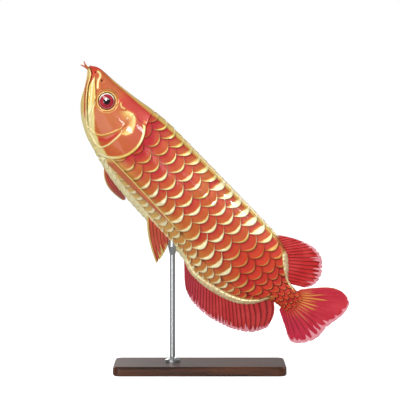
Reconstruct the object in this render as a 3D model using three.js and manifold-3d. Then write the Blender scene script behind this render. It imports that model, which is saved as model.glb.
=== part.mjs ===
// A life-size still model of an Asian arowana, swimming nose-up, held over a flat base by one rod.
// Millimetres. The fish is modelled level: x runs from the snout to the tail, z is up the back,
// its left side is at -y. A group then tips it nose-up and sets it over the middle of the base.

import * as THREE from 'three';
import { mergeVertices } from 'three/addons/utils/BufferGeometryUtils.js';
import Module from 'manifold-3d';

const wasm = await Module();
wasm.setup();

// Driving sizes
const GAP = 0.3; // between pieces that touch
const PITCH = THREE.MathUtils.degToRad( 46 ); // nose-up tilt of the body
const LEFT = - 1;
const RIGHT = 1;

// The body outline, each list as [ x, value ]
const BACK_LINE = [
	[ 0, 2 ], [ 7, 7 ], [ 17, 10 ], [ 47, 12.5 ], [ 88, 18 ], [ 128, 25 ], [ 170, 28.5 ], [ 330, 29.5 ],
	[ 416, 29 ], [ 436, 25.5 ], [ 458, 18 ], [ 475, 5 ], [ 490, - 9 ], [ 502, - 13 ], [ 530, - 13 ],
];
const BELLY_LINE = [
	[ 0, - 6 ], [ 7, - 15 ], [ 17, - 30 ], [ 27, - 47 ], [ 37, - 59 ], [ 57, - 75 ], [ 88, - 90 ],
	[ 128, - 100 ], [ 169, - 108 ], [ 250, - 112.5 ], [ 335, - 112.5 ], [ 373, - 121 ], [ 417, - 116 ],
	[ 458, - 100 ], [ 481, - 79 ], [ 492, - 60 ], [ 502, - 54 ], [ 530, - 51 ],
];
const HALF_WIDTH = [
	[ 0, 4 ], [ 8, 10 ], [ 25, 16.5 ], [ 61, 22.5 ], [ 110, 28 ], [ 140, 29.5 ], [ 260, 29.5 ],
	[ 340, 27.5 ], [ 400, 23 ], [ 450, 16 ], [ 490, 10 ], [ 530, 7 ],
];
const FLAT_BACK = [ [ 0, 0.45 ], [ 90, 0.42 ], [ 200, 0.25 ], [ 400, 0.2 ], [ 500, 0.05 ], [ 530, 0 ] ];
const KEEL = [ [ 0, 0 ], [ 60, 0.15 ], [ 130, 0.5 ], [ 250, 0.6 ], [ 400, 0.5 ], [ 500, 0.1 ], [ 530, 0 ] ];
const WIDEST = 0.42; // how far down the side the body is widest

const SWAY = { start: 190, end: 598, reach: 16 }; // the tail swings gently to the fish's right

// Splits between the lengths of the trunk
const TRUNK_SPLITS = [ 292, 458 ];
const TAIL_ROOT = 516;

// The large scales, in rows that run the length of the trunk
const SCALES = {
	rows: 5,
	band: 0.05, // share of the half girth left smooth along the back
	row: 0.185, // share of the half girth that one row takes
	firstX: 103,
	pitch: 20,
	shrinkX: 400, // from here the scales get smaller towards the tail
	shrink: 0.09, // loss of pitch per millimetre
	last: 24,
	lift: 0.07, // height of the free edge over the pitch
	arcDepth: 2, // how far the free edge curves back, in pitches, at a local height of one row
	meet: 0.625, // local height at which two rows' edges meet
	join: 0.375, // local height at which the next row's edge leaves this one
};

// The head
const GILL = { x: 101.6, z: - 42, radius: 53.3, overhang: 1.2 }; // the round rear edge of the gill cover
const EYE = { share: 0.33, x: 61.2, z: - 20, radius: 16.5, depth: 8, proud: 5, ring: 18.5, ringLift: 1.4 };
const NOSTRILS = [ { x: 18, z: 2.5, radius: 1.3 }, { x: 31, z: - 2.5, radius: 1.8 } ];
const PLATES = { depth: 2.6, gillLift: 1.3, cheekLift: 0.7, maxillaLift: 1.7, jawLift: 0.7 };
const BARBEL = { root: [ 1, 2.5, - 5.5 ], length: 17, radius: 1.5, tipRadius: 0.35, sides: 6, steps: 5 };

// The stand
const BASE = { width: 290, depth: 150, height: 16, corner: 14, bevel: 2.5 };
const ROD = {
	radius: 4.5, x: - 46, sides: 16,
	footRadius: 13, footHeight: 7,
	cupRadius: 7.5, cupHeight: 14,
	sunk: 12, // how far it reaches into the belly before it is cut to fit
};
const SNOUT = { x: - 184, height: 516 }; // where the snout is over the base's underside

const FINISH = {
	flesh: { color: 0xc85037, roughness: 0.35, metalness: 0.15 },
	plate: { color: 0xd08a55, roughness: 0.25, metalness: 0.3 },
	jaw: { color: 0xd8b070, roughness: 0.3, metalness: 0.2 },
	fin: { color: 0xc83246, roughness: 0.45, metalness: 0 },
	eye: { color: 0x8c1e2d, roughness: 0.1, metalness: 0 },
	wood: { color: 0x3a2418, roughness: 0.4, metalness: 0 },
	steel: { color: 0xb8babc, roughness: 0.3, metalness: 1 },
};

// A smooth function through [ x, value ] points
function profile( points ) {

	const slope = ( i ) => {

		const a = points[ Math.max( i - 1, 0 ) ];
		const b = points[ Math.min( i + 1, points.length - 1 ) ];
		return ( b[ 1 ] - a[ 1 ] ) / ( b[ 0 ] - a[ 0 ] );

	};

	return ( x ) => {

		let i = 0;
		while ( i < points.length - 2 && x > points[ i + 1 ][ 0 ] ) i ++;
		const [ x0, y0 ] = points[ i ];
		const [ x1, y1 ] = points[ i + 1 ];
		const span = x1 - x0;
		const t = THREE.MathUtils.clamp( ( x - x0 ) / span, 0, 1 );
		const rise = t * t * ( 3 - 2 * t );
		const bulge = slope( i ) * t * ( 1 - t ) * ( 1 - t ) - slope( i + 1 ) * t * t * ( 1 - t );
		return y0 + ( y1 - y0 ) * rise + span * bulge;

	};

}

const backLine = profile( BACK_LINE );
const bellyLine = profile( BELLY_LINE );
const halfWidth = profile( HALF_WIDTH );
const flatBack = profile( FLAT_BACK );
const keel = profile( KEEL );

// A point of the body's cross-section, angle 0 at the back and PI at the belly
function section( x, angle, grow ) {

	const top = backLine( x ) + grow;
	const bottom = bellyLine( x ) - grow;
	const middle = THREE.MathUtils.lerp( top, bottom, WIDEST );
	const up = Math.cos( angle );
	const reach = up > 0 ? top - middle : middle - bottom;
	const power = 1 + ( up > 0 ? - flatBack( x ) : keel( x ) ) * up * up;
	const across = ( halfWidth( x ) + grow ) * Math.max( Math.sin( angle ), 0 ) ** power;
	return new THREE.Vector2( across, middle + reach * up );

}

// The cross-section measured along its girth, so that equal shares are equal lengths
const GIRTH_STEPS = 48;
const girths = new Map();

function girthAt( x ) {

	const key = Math.round( x * 1000 );
	if ( girths.has( key ) ) return girths.get( key );
	const lengths = [ 0 ];
	let last = section( x, 0, 0 );
	for ( let i = 1; i <= GIRTH_STEPS; i ++ ) {

		const next = section( x, Math.PI * i / GIRTH_STEPS, 0 );
		lengths.push( lengths[ i - 1 ] + next.distanceTo( last ) );
		last = next;

	}

	girths.set( key, lengths );
	return lengths;

}

function angleAt( x, share ) {

	const lengths = girthAt( x );
	const target = share * lengths[ GIRTH_STEPS ];
	let i = 0;
	while ( i < GIRTH_STEPS - 1 && lengths[ i + 1 ] < target ) i ++;
	const part = ( target - lengths[ i ] ) / ( lengths[ i + 1 ] - lengths[ i ] );
	return Math.PI * ( i + part ) / GIRTH_STEPS;

}

// A point of the skin: share 0 is the back, 1 the belly, and lift stands off the surface
function skin( x, share, side, lift = 0 ) {

	const at = ( px, ps ) => {

		const flat = section( px, angleAt( px, ps ), 0 );
		return new THREE.Vector3( px, side * flat.x, flat.y );

	};

	const point = at( x, share );
	if ( lift === 0 ) return point;
	const step = 0.004;
	const along = at( x + 1, share ).sub( at( x - 1, share ) );
	const down = at( x, Math.min( share + step, 1 ) ).sub( at( x, Math.max( share - step, 0 ) ) );
	const normal = along.cross( down ).multiplyScalar( - side ).normalize();
	return point.addScaledVector( normal, lift );

}

// Solids
function toSolid( geometry ) {

	const bare = geometry.clone();
	bare.deleteAttribute( 'normal' );
	bare.deleteAttribute( 'uv' );
	const merged = mergeVertices( bare, 1e-4 );
	return new wasm.Manifold( new wasm.Mesh( {
		numProp: 3,
		vertProperties: new Float32Array( merged.attributes.position.array ),
		triVerts: new Uint32Array( merged.index.array ),
	} ) );

}

// The largest closed surface of a solid, with the swing of the tail put in
function toGeometry( solid, bend = sway ) {

	const pieces = solid.decompose().sort( ( a, b ) => b.volume() - a.volume() );
	const mesh = pieces[ 0 ].getMesh();
	const positions = Float32Array.from( mesh.vertProperties );
	for ( let i = 0; i < positions.length; i += 3 ) positions[ i + 1 ] += bend( positions[ i ] );
	const geometry = new THREE.BufferGeometry();
	geometry.setAttribute( 'position', new THREE.BufferAttribute( positions, 3 ) );
	geometry.setIndex( Array.from( mesh.triVerts ) );
	geometry.computeVertexNormals();
	return geometry;

}

function sway( x ) {

	const part = Math.max( 0, ( x - SWAY.start ) / ( SWAY.end - SWAY.start ) );
	return SWAY.reach * part * part;

}

function fromTriangles( triangles ) {

	const flat = [];
	for ( const point of triangles ) flat.push( point.x, point.y, point.z );
	const geometry = new THREE.BufferGeometry();
	geometry.setAttribute( 'position', new THREE.Float32BufferAttribute( flat, 3 ) );
	return geometry;

}

function middleOf( points ) {

	return points.reduce( ( sum, p ) => sum.add( p ), new THREE.Vector3() ).divideScalar( points.length );

}

// A closed skin over rings of points, each end closed by a fan
function loft( rings ) {

	const triangles = [];
	const count = rings[ 0 ].length;
	for ( let i = 0; i < count; i ++ ) {

		const j = ( i + 1 ) % count;
		for ( let k = 0; k < rings.length - 1; k ++ ) {

			const [ a, b, c, d ] = [ rings[ k ][ i ], rings[ k + 1 ][ i ], rings[ k + 1 ][ j ], rings[ k ][ j ] ];
			triangles.push( a, c, b, a, d, c );

		}

		const first = rings[ 0 ];
		const last = rings[ rings.length - 1 ];
		triangles.push( first[ i ], middleOf( first ), first[ j ], last[ j ], middleOf( last ), last[ i ] );

	}

	return fromTriangles( triangles );

}

// The plain body between two places, made fatter or thinner by grow
function bodySolid( from, to, steps, around, grow = 0 ) {

	const rings = [];
	const crowd = 1.4; // the rings stand closer towards the snout
	for ( let k = 0; k <= steps; k ++ ) {

		const x = THREE.MathUtils.lerp( from, to, ( k / steps ) ** crowd );
		const ring = [];
		for ( let i = 0; i < around * 2; i ++ ) {

			const side = i <= around ? LEFT : RIGHT;
			const share = i <= around ? i / around : 2 - i / around;
			const flat = section( x, angleAt( x, share ), grow );
			ring.push( new THREE.Vector3( x, side * flat.x, flat.y ) );

		}

		rings.push( ring );

	}

	return toSolid( loft( rings ) );

}

// How far along the body a scale lies, counted in pitches from the first one
function alongScales( index ) {

	const { firstX, pitch, shrinkX, shrink } = SCALES;
	const even = ( shrinkX - firstX ) / pitch;
	if ( index <= even ) return firstX + index * pitch;
	return shrinkX + pitch / shrink * ( 1 - Math.exp( - shrink * ( index - even ) ) );

}

// A point of one scale's free edge: apex counts pitches, height is local, from the row's middle
function scaleEdge( apex, row, height, side, raised ) {

	const { band, row: girth, arcDepth, lift, pitch, shrinkX, shrink } = SCALES;
	const x = alongScales( apex - arcDepth * height * height );
	const share = band + ( row + 0.5 + height ) * girth;
	const local = pitch - shrink * Math.max( 0, x - shrinkX );
	return skin( x, share, side, raised ? lift * local : 0 );

}

// Every scale is a plate that rises from under the scales ahead of it to a free, rounded rear edge
function scaledTrunk() {

	const { rows, band, last, meet, join } = SCALES;
	const triangles = [];
	const face = ( side, a, b, c ) => side === LEFT ? triangles.push( a, b, c ) : triangles.push( a, c, b );
	const quad = ( side, a, b, c, d ) => {

		face( side, a, b, c );
		face( side, a, c, d );

	};

	const end = 0.5; // where the outermost rows stop, at the smooth bands
	for ( const side of [ LEFT, RIGHT ] ) {

		for ( let row = 0; row < rows; row ++ ) {

			const top = row === 0 ? end : meet;
			const foot = row === rows - 1 ? end : meet;
			const heights = [ - top, - join, - join / 2, 0, join / 2, join, foot ];
			const tips = heights.length - 1;
			const isTip = ( k ) => k === 0 || k === tips;
			const shift = row % 2 ? 0.5 : 0;
			for ( let i = 0; i + shift <= last; i ++ ) {

				const apex = i + shift;
				const low = ( at, h ) => scaleEdge( at, row, h, side, false );
				const edge = heights.map( ( h, k ) => scaleEdge( apex, row, h, side, ! isTip( k ) ) );
				const under = heights.map( ( h ) => low( apex, h ) );
				const ahead = heights.map( ( h, k ) => isTip( k ) ? edge[ k ] : low( apex - 1, h ) );
				for ( let k = 0; k < tips; k ++ ) {

					if ( k === 0 ) face( side, ahead[ 0 ], ahead[ 1 ], edge[ 1 ] );
					else if ( k === tips - 1 ) face( side, ahead[ k ], edge[ k + 1 ], edge[ k ] );
					else quad( side, ahead[ k ], ahead[ k + 1 ], edge[ k + 1 ], edge[ k ] );
					if ( k === 0 ) face( side, edge[ 0 ], edge[ 1 ], under[ 1 ] );
					else if ( k === tips - 1 ) face( side, edge[ k ], edge[ k + 1 ], under[ k ] );
					else quad( side, edge[ k ], edge[ k + 1 ], under[ k + 1 ], under[ k ] );

				}

				if ( row === 0 ) face( side, edge[ 0 ], low( apex - 1, - end ), ahead[ 1 ] );
				if ( row === rows - 1 ) face( side, edge[ tips ], ahead[ tips - 1 ], low( apex - 1, end ) );

			}

		}

		for ( let i = 0; i <= last; i ++ ) {

			const [ from, to ] = [ alongScales( i - 1 - end ), alongScales( i - end ) ];
			const foot = band + rows * SCALES.row;
			for ( const [ upper, lower ] of [ [ 0, band / 2 ], [ band / 2, band ], [ foot, 1 ] ] ) {

				const corner = ( x, share ) => skin( x, share, side );
				quad( side, corner( from, upper ), corner( from, lower ), corner( to, lower ), corner( to, upper ) );

			}

		}

	}

	return toSolid( closeEnds( fromTriangles( triangles ) ) );

}

// Each open end of a tube closed by a fan to a point a little beyond it
function closeEnds( geometry ) {

	const mesh = mergeVertices( geometry, 1e-4 );
	const index = mesh.index.array;
	const next = new Map();
	const used = new Set();
	for ( let i = 0; i < index.length; i ++ ) {

		const follower = i % 3 === 2 ? i - 2 : i + 1;
		used.add( `${ index[ i ] } ${ index[ follower ] }` );

	}

	for ( const edge of used ) {

		const [ a, b ] = edge.split( ' ' );
		if ( ! used.has( `${ b } ${ a }` ) ) next.set( + b, + a );

	}

	const point = ( i ) => new THREE.Vector3().fromBufferAttribute( mesh.attributes.position, i );
	const triangles = Array.from( index, point );
	const middleX = ( alongScales( 0 ) + alongScales( SCALES.last ) ) / 2;
	while ( next.size ) {

		const loop = [];
		let at = next.keys().next().value;
		while ( next.has( at ) ) {

			loop.push( point( at ) );
			const to = next.get( at );
			next.delete( at );
			at = to;

		}

		const centre = middleOf( loop );
		centre.x += centre.x < middleX ? - 30 : 12;
		loop.forEach( ( p, i ) => triangles.push( p, loop[ ( i + 1 ) % loop.length ], centre ) );

	}

	return fromTriangles( triangles );

}

// A flat outline in x and z, as a slab across the body, or on one side of its middle
const SLAB_REACH = 80;
const THROAT_STRIP = 6; // the plates of the two sides stay this far from the middle

function slab( outline, side = 0, grow = 0 ) {

	const shape = new THREE.Shape( grow ? grown( outline, grow ) : outline );
	const inner = THROAT_STRIP - grow;
	const depth = side ? SLAB_REACH - inner : 2 * SLAB_REACH;
	const geometry = new THREE.ExtrudeGeometry( shape, { depth, bevelEnabled: false } );
	geometry.rotateX( Math.PI / 2 );
	geometry.translate( 0, side === LEFT ? - inner : SLAB_REACH, 0 );
	return toSolid( geometry );

}

// An outline moved outwards by the same distance all round
function grown( outline, distance ) {

	const count = outline.length;
	const turn = THREE.ShapeUtils.isClockWise( outline ) ? - 1 : 1;
	return outline.map( ( point, i ) => {

		const before = point.clone().sub( outline[ ( i + count - 1 ) % count ] ).normalize();
		const after = outline[ ( i + 1 ) % count ].clone().sub( point ).normalize();
		const along = before.clone().add( after ).normalize();
		const stretch = Math.max( along.dot( after ), 0.5 );
		return new THREE.Vector2( along.y, - along.x ).multiplyScalar( turn * distance / stretch ).add( point );

	} );

}

function arc( centre, radius, from, to, steps ) {

	return Array.from( { length: steps + 1 }, ( _, i ) => {

		const angle = THREE.MathUtils.degToRad( THREE.MathUtils.lerp( from, to, i / steps ) );
		return new THREE.Vector2( centre.x + radius * Math.cos( angle ), centre.z + radius * Math.sin( angle ) );

	} );

}

// A smooth line through a few points, in x and z
function line( points, steps ) {

	const curve = new THREE.SplineCurve( points.map( ( [ x, z ] ) => new THREE.Vector2( x, z ) ) );
	return curve.getPoints( steps );

}

// Head outlines
const MOUTH_LINE = [
	[ - 6, - 1 ], [ 9, - 5.5 ], [ 22, - 25 ], [ 35, - 40 ], [ 49, - 54 ], [ 66, - 69 ], [ 80, - 79 ],
];
const MAXILLA_TOP = [ [ 14, - 1 ], [ 24, - 13 ], [ 36, - 27 ], [ 49, - 40 ], [ 62, - 57 ], [ 76, - 73 ] ];
const GILL_FRONT = [ [ 108, - 3 ], [ 115, - 25 ], [ 117, - 48 ], [ 112, - 72 ], [ 101, - 92 ] ];
const NAPE_LINE = [ [ 138, - 2 ], [ 131, 12 ], [ 127, 45 ] ];

function headOutlines() {

	const far = { x: - 20, top: 60, bottom: - 150 };
	const gillArc = ( radius ) => arc( GILL, radius, - 72, 48, 12 );
	const mouth = line( MOUTH_LINE, 12 );
	const jawEnd = [ new THREE.Vector2( 88, - 86 ), new THREE.Vector2( 84, - 100 ) ];
	const corners = [ new THREE.Vector2( far.x, far.bottom ), new THREE.Vector2( far.x, - 1 ) ];
	const gillFront = line( GILL_FRONT, 8 );
	return {
		head: [
			...gillArc( GILL.radius - GILL.overhang ), ...line( NAPE_LINE, 4 ),
			new THREE.Vector2( far.x, far.top ), new THREE.Vector2( far.x, far.bottom ),
			new THREE.Vector2( 112, far.bottom ),
		],
		gill: [ ...gillArc( GILL.radius ), ...gillFront ],
		jaw: [ ...mouth, ...jawEnd, new THREE.Vector2( 84, far.bottom ), ...corners ],
		maxilla: [ ...line( MAXILLA_TOP, 10 ), new THREE.Vector2( 80, - 79 ), ...mouth.slice( 2 ).reverse() ],
		cheek: [
			...gillFront, new THREE.Vector2( 90, - 88 ), new THREE.Vector2( 80, - 79 ),
			...line( MAXILLA_TOP, 8 ).slice( 3 ).reverse(), new THREE.Vector2( 50, - 24 ), new THREE.Vector2( 74, - 6 ),
		],
		orbit: arc( EYE, EYE.ring, 0, 342, 19 ),
		eyeHole: arc( EYE, EYE.radius - 1, 0, 345, 23 ),
	};

}

// The head, with plates that stand proud of the skull and are parted by thin cuts
function headPieces() {

	const outline = headOutlines();
	const rear = GILL.x + GILL.radius + 13; // past the gill cover, and cut back to it
	const body = ( grow ) => bodySolid( 0, rear, 18, 10, grow );
	const bare = body( 0 );
	const inner = body( - PLATES.depth );
	const pocket = body( - PLATES.depth - GAP );
	const plate = ( name, side, lift ) =>
		body( lift ).subtract( inner ).intersect( slab( outline[ name ], side ) );
	const jaw = slab( outline.jaw );
	const jawCut = slab( outline.jaw, 0, GAP );
	const pieces = {};

	pieces.lower_jaw = body( PLATES.jawLift ).intersect( jaw );
	let head = bare.intersect( slab( outline.head ) ).subtract( jawCut );
	const shell = body( 2 * PLATES.depth ).subtract( pocket );
	for ( const side of [ LEFT, RIGHT ] ) {

		const name = side === LEFT ? 'left' : 'right';
		const gillCut = slab( outline.gill, side, GAP );
		const maxillaCut = slab( outline.maxilla, side, GAP );
		const cheekCut = slab( outline.cheek, side, GAP );
		const orbitCut = slab( outline.orbit, side, GAP );
		const middle = section( EYE.x, angleAt( EYE.x, EYE.share ), 0 ).x + EYE.proud - EYE.depth;
		const ball = ( grow ) => {

			const sphere = new THREE.SphereGeometry( 1, 16, 8 );
			sphere.rotateX( Math.PI / 2 );
			sphere.scale( EYE.radius + grow, EYE.depth + grow, EYE.radius + grow );
			sphere.translate( EYE.x, side * middle, EYE.z );
			return toSolid( sphere );

		};

		const ring = body( EYE.ringLift ).intersect( slab( outline.orbit, side ) );
		pieces[ `eye_${ name }` ] = ball( 0 );
		pieces[ `gill_cover_${ name }` ] = plate( 'gill', side, PLATES.gillLift );
		pieces[ `maxilla_${ name }` ] = plate( 'maxilla', side, PLATES.maxillaLift ).subtract( jawCut );
		pieces[ `cheek_${ name }` ] = plate( 'cheek', side, PLATES.cheekLift )
			.subtract( jawCut ).subtract( gillCut ).subtract( maxillaCut ).subtract( orbitCut );
		const plates = gillCut.add( maxillaCut ).add( cheekCut.subtract( slab( outline.orbit, side ) ) );
		head = head.add( ring ).subtract( shell.intersect( plates ) ).subtract( ball( GAP ) );
		for ( const hole of NOSTRILS ) head = head.subtract( nostril( hole, side ) );

	}

	pieces.head = head;
	return pieces;

}

function nostril( hole, side ) {

	const reach = 40;
	const depth = 3;
	const outer = section( hole.x, Math.PI * 0.3, 0 ).x;
	const drill = new THREE.CylinderGeometry( hole.radius, hole.radius, reach, 10 );
	drill.translate( hole.x, side * ( outer - depth + reach / 2 ), hole.z );
	return toSolid( drill );

}

// A short tapering feeler at the tip of the lower jaw
function barbel( side, rise ) {

	const [ x, y, z ] = BARBEL.root;
	const root = new THREE.Vector3( x, side * y, z );
	const tip = root.clone().add( new THREE.Vector3( - 0.9 * BARBEL.length, side * 4, rise ) );
	const bow = root.clone().lerp( tip, 0.5 ).add( new THREE.Vector3( 0, side * 2, - rise * 0.4 ) );
	const curve = new THREE.QuadraticBezierCurve3( root, bow, tip );
	const rings = [];
	for ( let k = 0; k <= BARBEL.steps; k ++ ) {

		const part = k / BARBEL.steps;
		const centre = curve.getPoint( part );
		const along = curve.getTangent( part );
		const across = new THREE.Vector3( 0, 1, 0 ).cross( along ).normalize();
		const other = along.clone().cross( across );
		const radius = THREE.MathUtils.lerp( BARBEL.radius, BARBEL.tipRadius, part ** 1.3 );
		rings.push( Array.from( { length: BARBEL.sides }, ( _, i ) => {

			const angle = 2 * Math.PI * i / BARBEL.sides;
			return centre.clone().addScaledVector( across, radius * Math.cos( angle ) )
				.addScaledVector( other, radius * Math.sin( angle ) );

		} ) );

	}

	return toSolid( loft( rings ) );

}

// Fins. A fin is a sheet between a root line and a free edge, with rays raised on both faces
function finSolid( fin ) {

	const columns = [ { u: 0, ray: 1 } ];
	for ( let i = 0; i < fin.rays; i ++ ) {

		for ( const [ shift, ray ] of [ [ 0.24, 0 ], [ 0.5, 1 ], [ 0.76, 0 ] ] ) {

			columns.push( { u: ( i + shift ) / fin.rays, ray } );

		}

	}

	columns.push( { u: 1, ray: 1 } );
	const faces = [ [], [] ];
	for ( const { u, ray } of columns ) {

		const root = fin.root( u );
		const reach = fin.edge( u ).sub( root ).multiplyScalar( ray ? 1 : 1 - fin.notch );
		const rows = [ [], [] ];
		for ( let k = 0; k <= fin.steps; k ++ ) {

			const v = ( k / fin.steps ) ** fin.crowd;
			const sheet = root.clone().addScaledVector( reach, v );
			const bow = fin.bow ? fin.bow( u, v ) : new THREE.Vector3();
			sheet.add( bow );
			const ridge = ray * fin.ridge * ( 1 - 0.8 * v );
			const half = THREE.MathUtils.lerp( fin.thick, fin.thin, v ** 0.6 ) / 2 + ridge + fin.swell( u, v );
			rows[ 0 ].push( sheet.clone().addScaledVector( fin.across, - half ) );
			rows[ 1 ].push( sheet.clone().addScaledVector( fin.across, half ) );

		}

		faces[ 0 ].push( rows[ 0 ] );
		faces[ 1 ].push( rows[ 1 ] );

	}

	const solid = toSolid( sheetBody( faces[ 0 ], faces[ 1 ] ) );
	return solid.volume() > 0 ? solid : toSolid( sheetBody( faces[ 1 ], faces[ 0 ] ) );

}

// Two like grids of points joined all round into one closed body
function sheetBody( near, far ) {

	const triangles = [];
	const quad = ( a, b, c, d ) => triangles.push( a, b, c, a, c, d );
	const m = near.length - 1;
	const n = near[ 0 ].length - 1;
	for ( let i = 0; i < m; i ++ ) {

		for ( let k = 0; k < n; k ++ ) {

			quad( near[ i ][ k ], near[ i + 1 ][ k ], near[ i + 1 ][ k + 1 ], near[ i ][ k + 1 ] );
			triangles.push( far[ i ][ k ], far[ i + 1 ][ k + 1 ], far[ i + 1 ][ k ] );
			triangles.push( far[ i ][ k ], far[ i ][ k + 1 ], far[ i + 1 ][ k + 1 ] );

		}

		quad( near[ i + 1 ][ 0 ], near[ i ][ 0 ], far[ i ][ 0 ], far[ i + 1 ][ 0 ] );
		quad( near[ i ][ n ], near[ i + 1 ][ n ], far[ i + 1 ][ n ], far[ i ][ n ] );

	}

	for ( let k = 0; k < n; k ++ ) {

		quad( near[ 0 ][ k ], near[ 0 ][ k + 1 ], far[ 0 ][ k + 1 ], far[ 0 ][ k ] );
		quad( near[ m ][ k + 1 ], near[ m ][ k ], far[ m ][ k ], far[ m ][ k + 1 ] );

	}

	return fromTriangles( triangles );

}

// A curve through a few points in x and z, as a function of a share from 0 to 1
function edgeCurve( points ) {

	const places = points.map( ( [ x, z ] ) => new THREE.Vector3( x, 0, z ) );
	const curve = new THREE.CatmullRomCurve3( places, false, 'centripetal' );
	return ( u ) => curve.getPointAt( u );

}

const UPRIGHT = new THREE.Vector3( 0, 1, 0 );
const SUNK = 5; // how far a fin's root starts inside the body before it is cut to fit

// A fin along the middle of the back or belly, its root just under the skin
function medianFin( rootFrom, rootTo, bodyLine, inward, edge, sizes ) {

	return finSolid( {
		root: ( u ) => {

			const x = THREE.MathUtils.lerp( rootFrom, rootTo, u );
			return new THREE.Vector3( x, 0, bodyLine( x ) + inward * SUNK );

		},
		edge: edgeCurve( edge ),
		across: UPRIGHT,
		swell: () => 0,
		crowd: 1,
		...sizes,
	} );

}

const DORSAL_EDGE = [
	[ 424, 30 ], [ 440, 41 ], [ 458, 51 ], [ 474, 57 ], [ 490, 59.5 ], [ 505, 55.5 ], [ 518, 45 ],
	[ 528, 28 ], [ 527, 14 ], [ 519, 0 ], [ 511, - 9 ],
];
const ANAL_EDGE = [
	[ 342, - 114 ], [ 352, - 120 ], [ 365, - 133 ], [ 382, - 146 ], [ 410, - 153.5 ], [ 440, - 151.5 ],
	[ 470, - 143 ], [ 497, - 130 ], [ 516, - 113 ], [ 526, - 92 ], [ 520, - 76 ], [ 508, - 62 ], [ 500, - 57.5 ],
];
const CAUDAL_EDGE = [
	[ 518, - 6 ], [ 534, 14 ], [ 555, 35 ], [ 575, 42 ], [ 592, 37 ], [ 599, 20 ], [ 596, - 20 ],
	[ 597.5, - 45 ], [ 588, - 66 ], [ 571, - 80 ], [ 545, - 69.5 ], [ 518, - 57 ],
];

function dorsalFin() {

	return medianFin( 422, 506, backLine, - 1, DORSAL_EDGE, {
		rays: 15, steps: 3, notch: 0.03, thick: 2.2, thin: 0.6, ridge: 0.55,
	} );

}

function analFin() {

	return medianFin( 338, 497, bellyLine, 1, ANAL_EDGE, {
		rays: 22, steps: 3, notch: 0.03, thick: 2.2, thin: 0.6, ridge: 0.55,
	} );

}

function caudalFin() {

	const x = TAIL_ROOT + GAP;
	const top = backLine( x ) - 0.4;
	const bottom = bellyLine( x ) + 0.4;
	const rootHalf = halfWidth( x ) - 1.6;
	const rootLength = 0.3; // share of the fin over which the thick root thins out
	return finSolid( {
		root: ( u ) => new THREE.Vector3( x, 0, THREE.MathUtils.lerp( top, bottom, u ) ),
		edge: edgeCurve( CAUDAL_EDGE ),
		across: UPRIGHT,
		swell: ( u, v ) => rootHalf * Math.max( Math.sin( Math.PI * u ), 0 ) ** 0.7
			* ( 1 - Math.min( v / rootLength, 1 ) ) ** 2,
		crowd: 1.5,
		rays: 14, steps: 5, notch: 0.035, thick: 1.4, thin: 0.6, ridge: 0.6,
	} );

}

// The paired fins, given on the fish's left and mirrored where side is RIGHT
function pairedFin( lines, side, sizes ) {

	const place = ( [ x, y, z ] ) => new THREE.Vector3( x, side * y, z );
	const curve = ( points ) => new THREE.CatmullRomCurve3( points.map( place ), false, 'centripetal' );
	const root = curve( lines.root );
	const edge = curve( lines.edge );
	const chord = place( lines.root[ lines.root.length - 1 ] ).sub( place( lines.root[ 0 ] ) );
	const span = place( lines.edge[ 0 ] ).sub( place( lines.root[ 0 ] ) );
	const across = span.cross( chord ).normalize();
	if ( across.y < 0 ) across.negate();
	const bow = ( u, v ) => place( lines.bow ).multiplyScalar( Math.sin( Math.PI * v ) * ( 1 - u ) );
	return {
		root: ( u ) => root.getPointAt( u ),
		edge: ( u ) => edge.getPointAt( u ),
		across, bow, swell: () => 0, crowd: 1, ...sizes,
	};

}

// The left pectoral lies back along the belly and the right one is spread
const PECTORAL = {
	[ LEFT ]: {
		root: [ [ 131, 19, - 80 ], [ 136, 13, - 93 ] ],
		edge: [ [ 304, 50, - 83.5 ], [ 262, 44, - 89 ], [ 222, 36, - 96 ], [ 190, 28, - 99 ], [ 156, 19, - 97 ] ],
		bow: [ 0, 4, 1.5 ],
	},
	[ RIGHT ]: {
		root: [ [ 128, 15, - 90 ], [ 140, 13, - 95 ] ],
		edge: [ [ 197, 104, - 121 ], [ 200, 86, - 116 ], [ 195, 64, - 110 ], [ 180, 42, - 104 ], [ 160, 24, - 99 ] ],
		bow: [ - 5, 2, - 14 ],
	},
};
const PELVIC = {
	root: [ [ 245, 6, - 105 ], [ 300, 5, - 107 ] ],
	edge: [ [ 315, 24, - 150 ], [ 314, 19, - 139 ], [ 311, 13, - 126 ], [ 306, 7, - 113 ] ],
	bow: [ - 3, 2, - 3 ],
};

function pectoralFin( side ) {

	return finSolid( pairedFin( PECTORAL[ side ], side, {
		rays: 5, steps: 4, notch: 0.02, thick: 2.4, thin: 0.7, ridge: 0.5,
	} ) );

}

function pelvicFin( side ) {

	return finSolid( pairedFin( PELVIC, side, {
		rays: 5, steps: 3, notch: 0.03, thick: 2, thin: 0.7, ridge: 0.5,
	} ) );

}

// A piece cut to stand on a neighbour, with the gap kept in the given directions
function standOff( piece, neighbour, directions ) {

	return directions.reduce( ( rest, [ x, y, z ] ) =>
		rest.subtract( neighbour.translate( x * GAP, y * GAP, z * GAP ) ), piece );

}

function between( from, to ) {

	const reach = 400;
	const box = new THREE.BoxGeometry( to - from, reach, reach );
	box.translate( ( from + to ) / 2, 0, 0 );
	return toSolid( box );

}

function trunkPieces( whole ) {

	const names = [ 'trunk_front', 'trunk_rear', 'tail_base' ];
	const cuts = [ 60, ...TRUNK_SPLITS, TAIL_ROOT + GAP ];
	return Object.fromEntries( names.map( ( name, i ) =>
		[ name, whole.intersect( between( cuts[ i ], cuts[ i + 1 ] - GAP ) ) ] ) );

}

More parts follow.
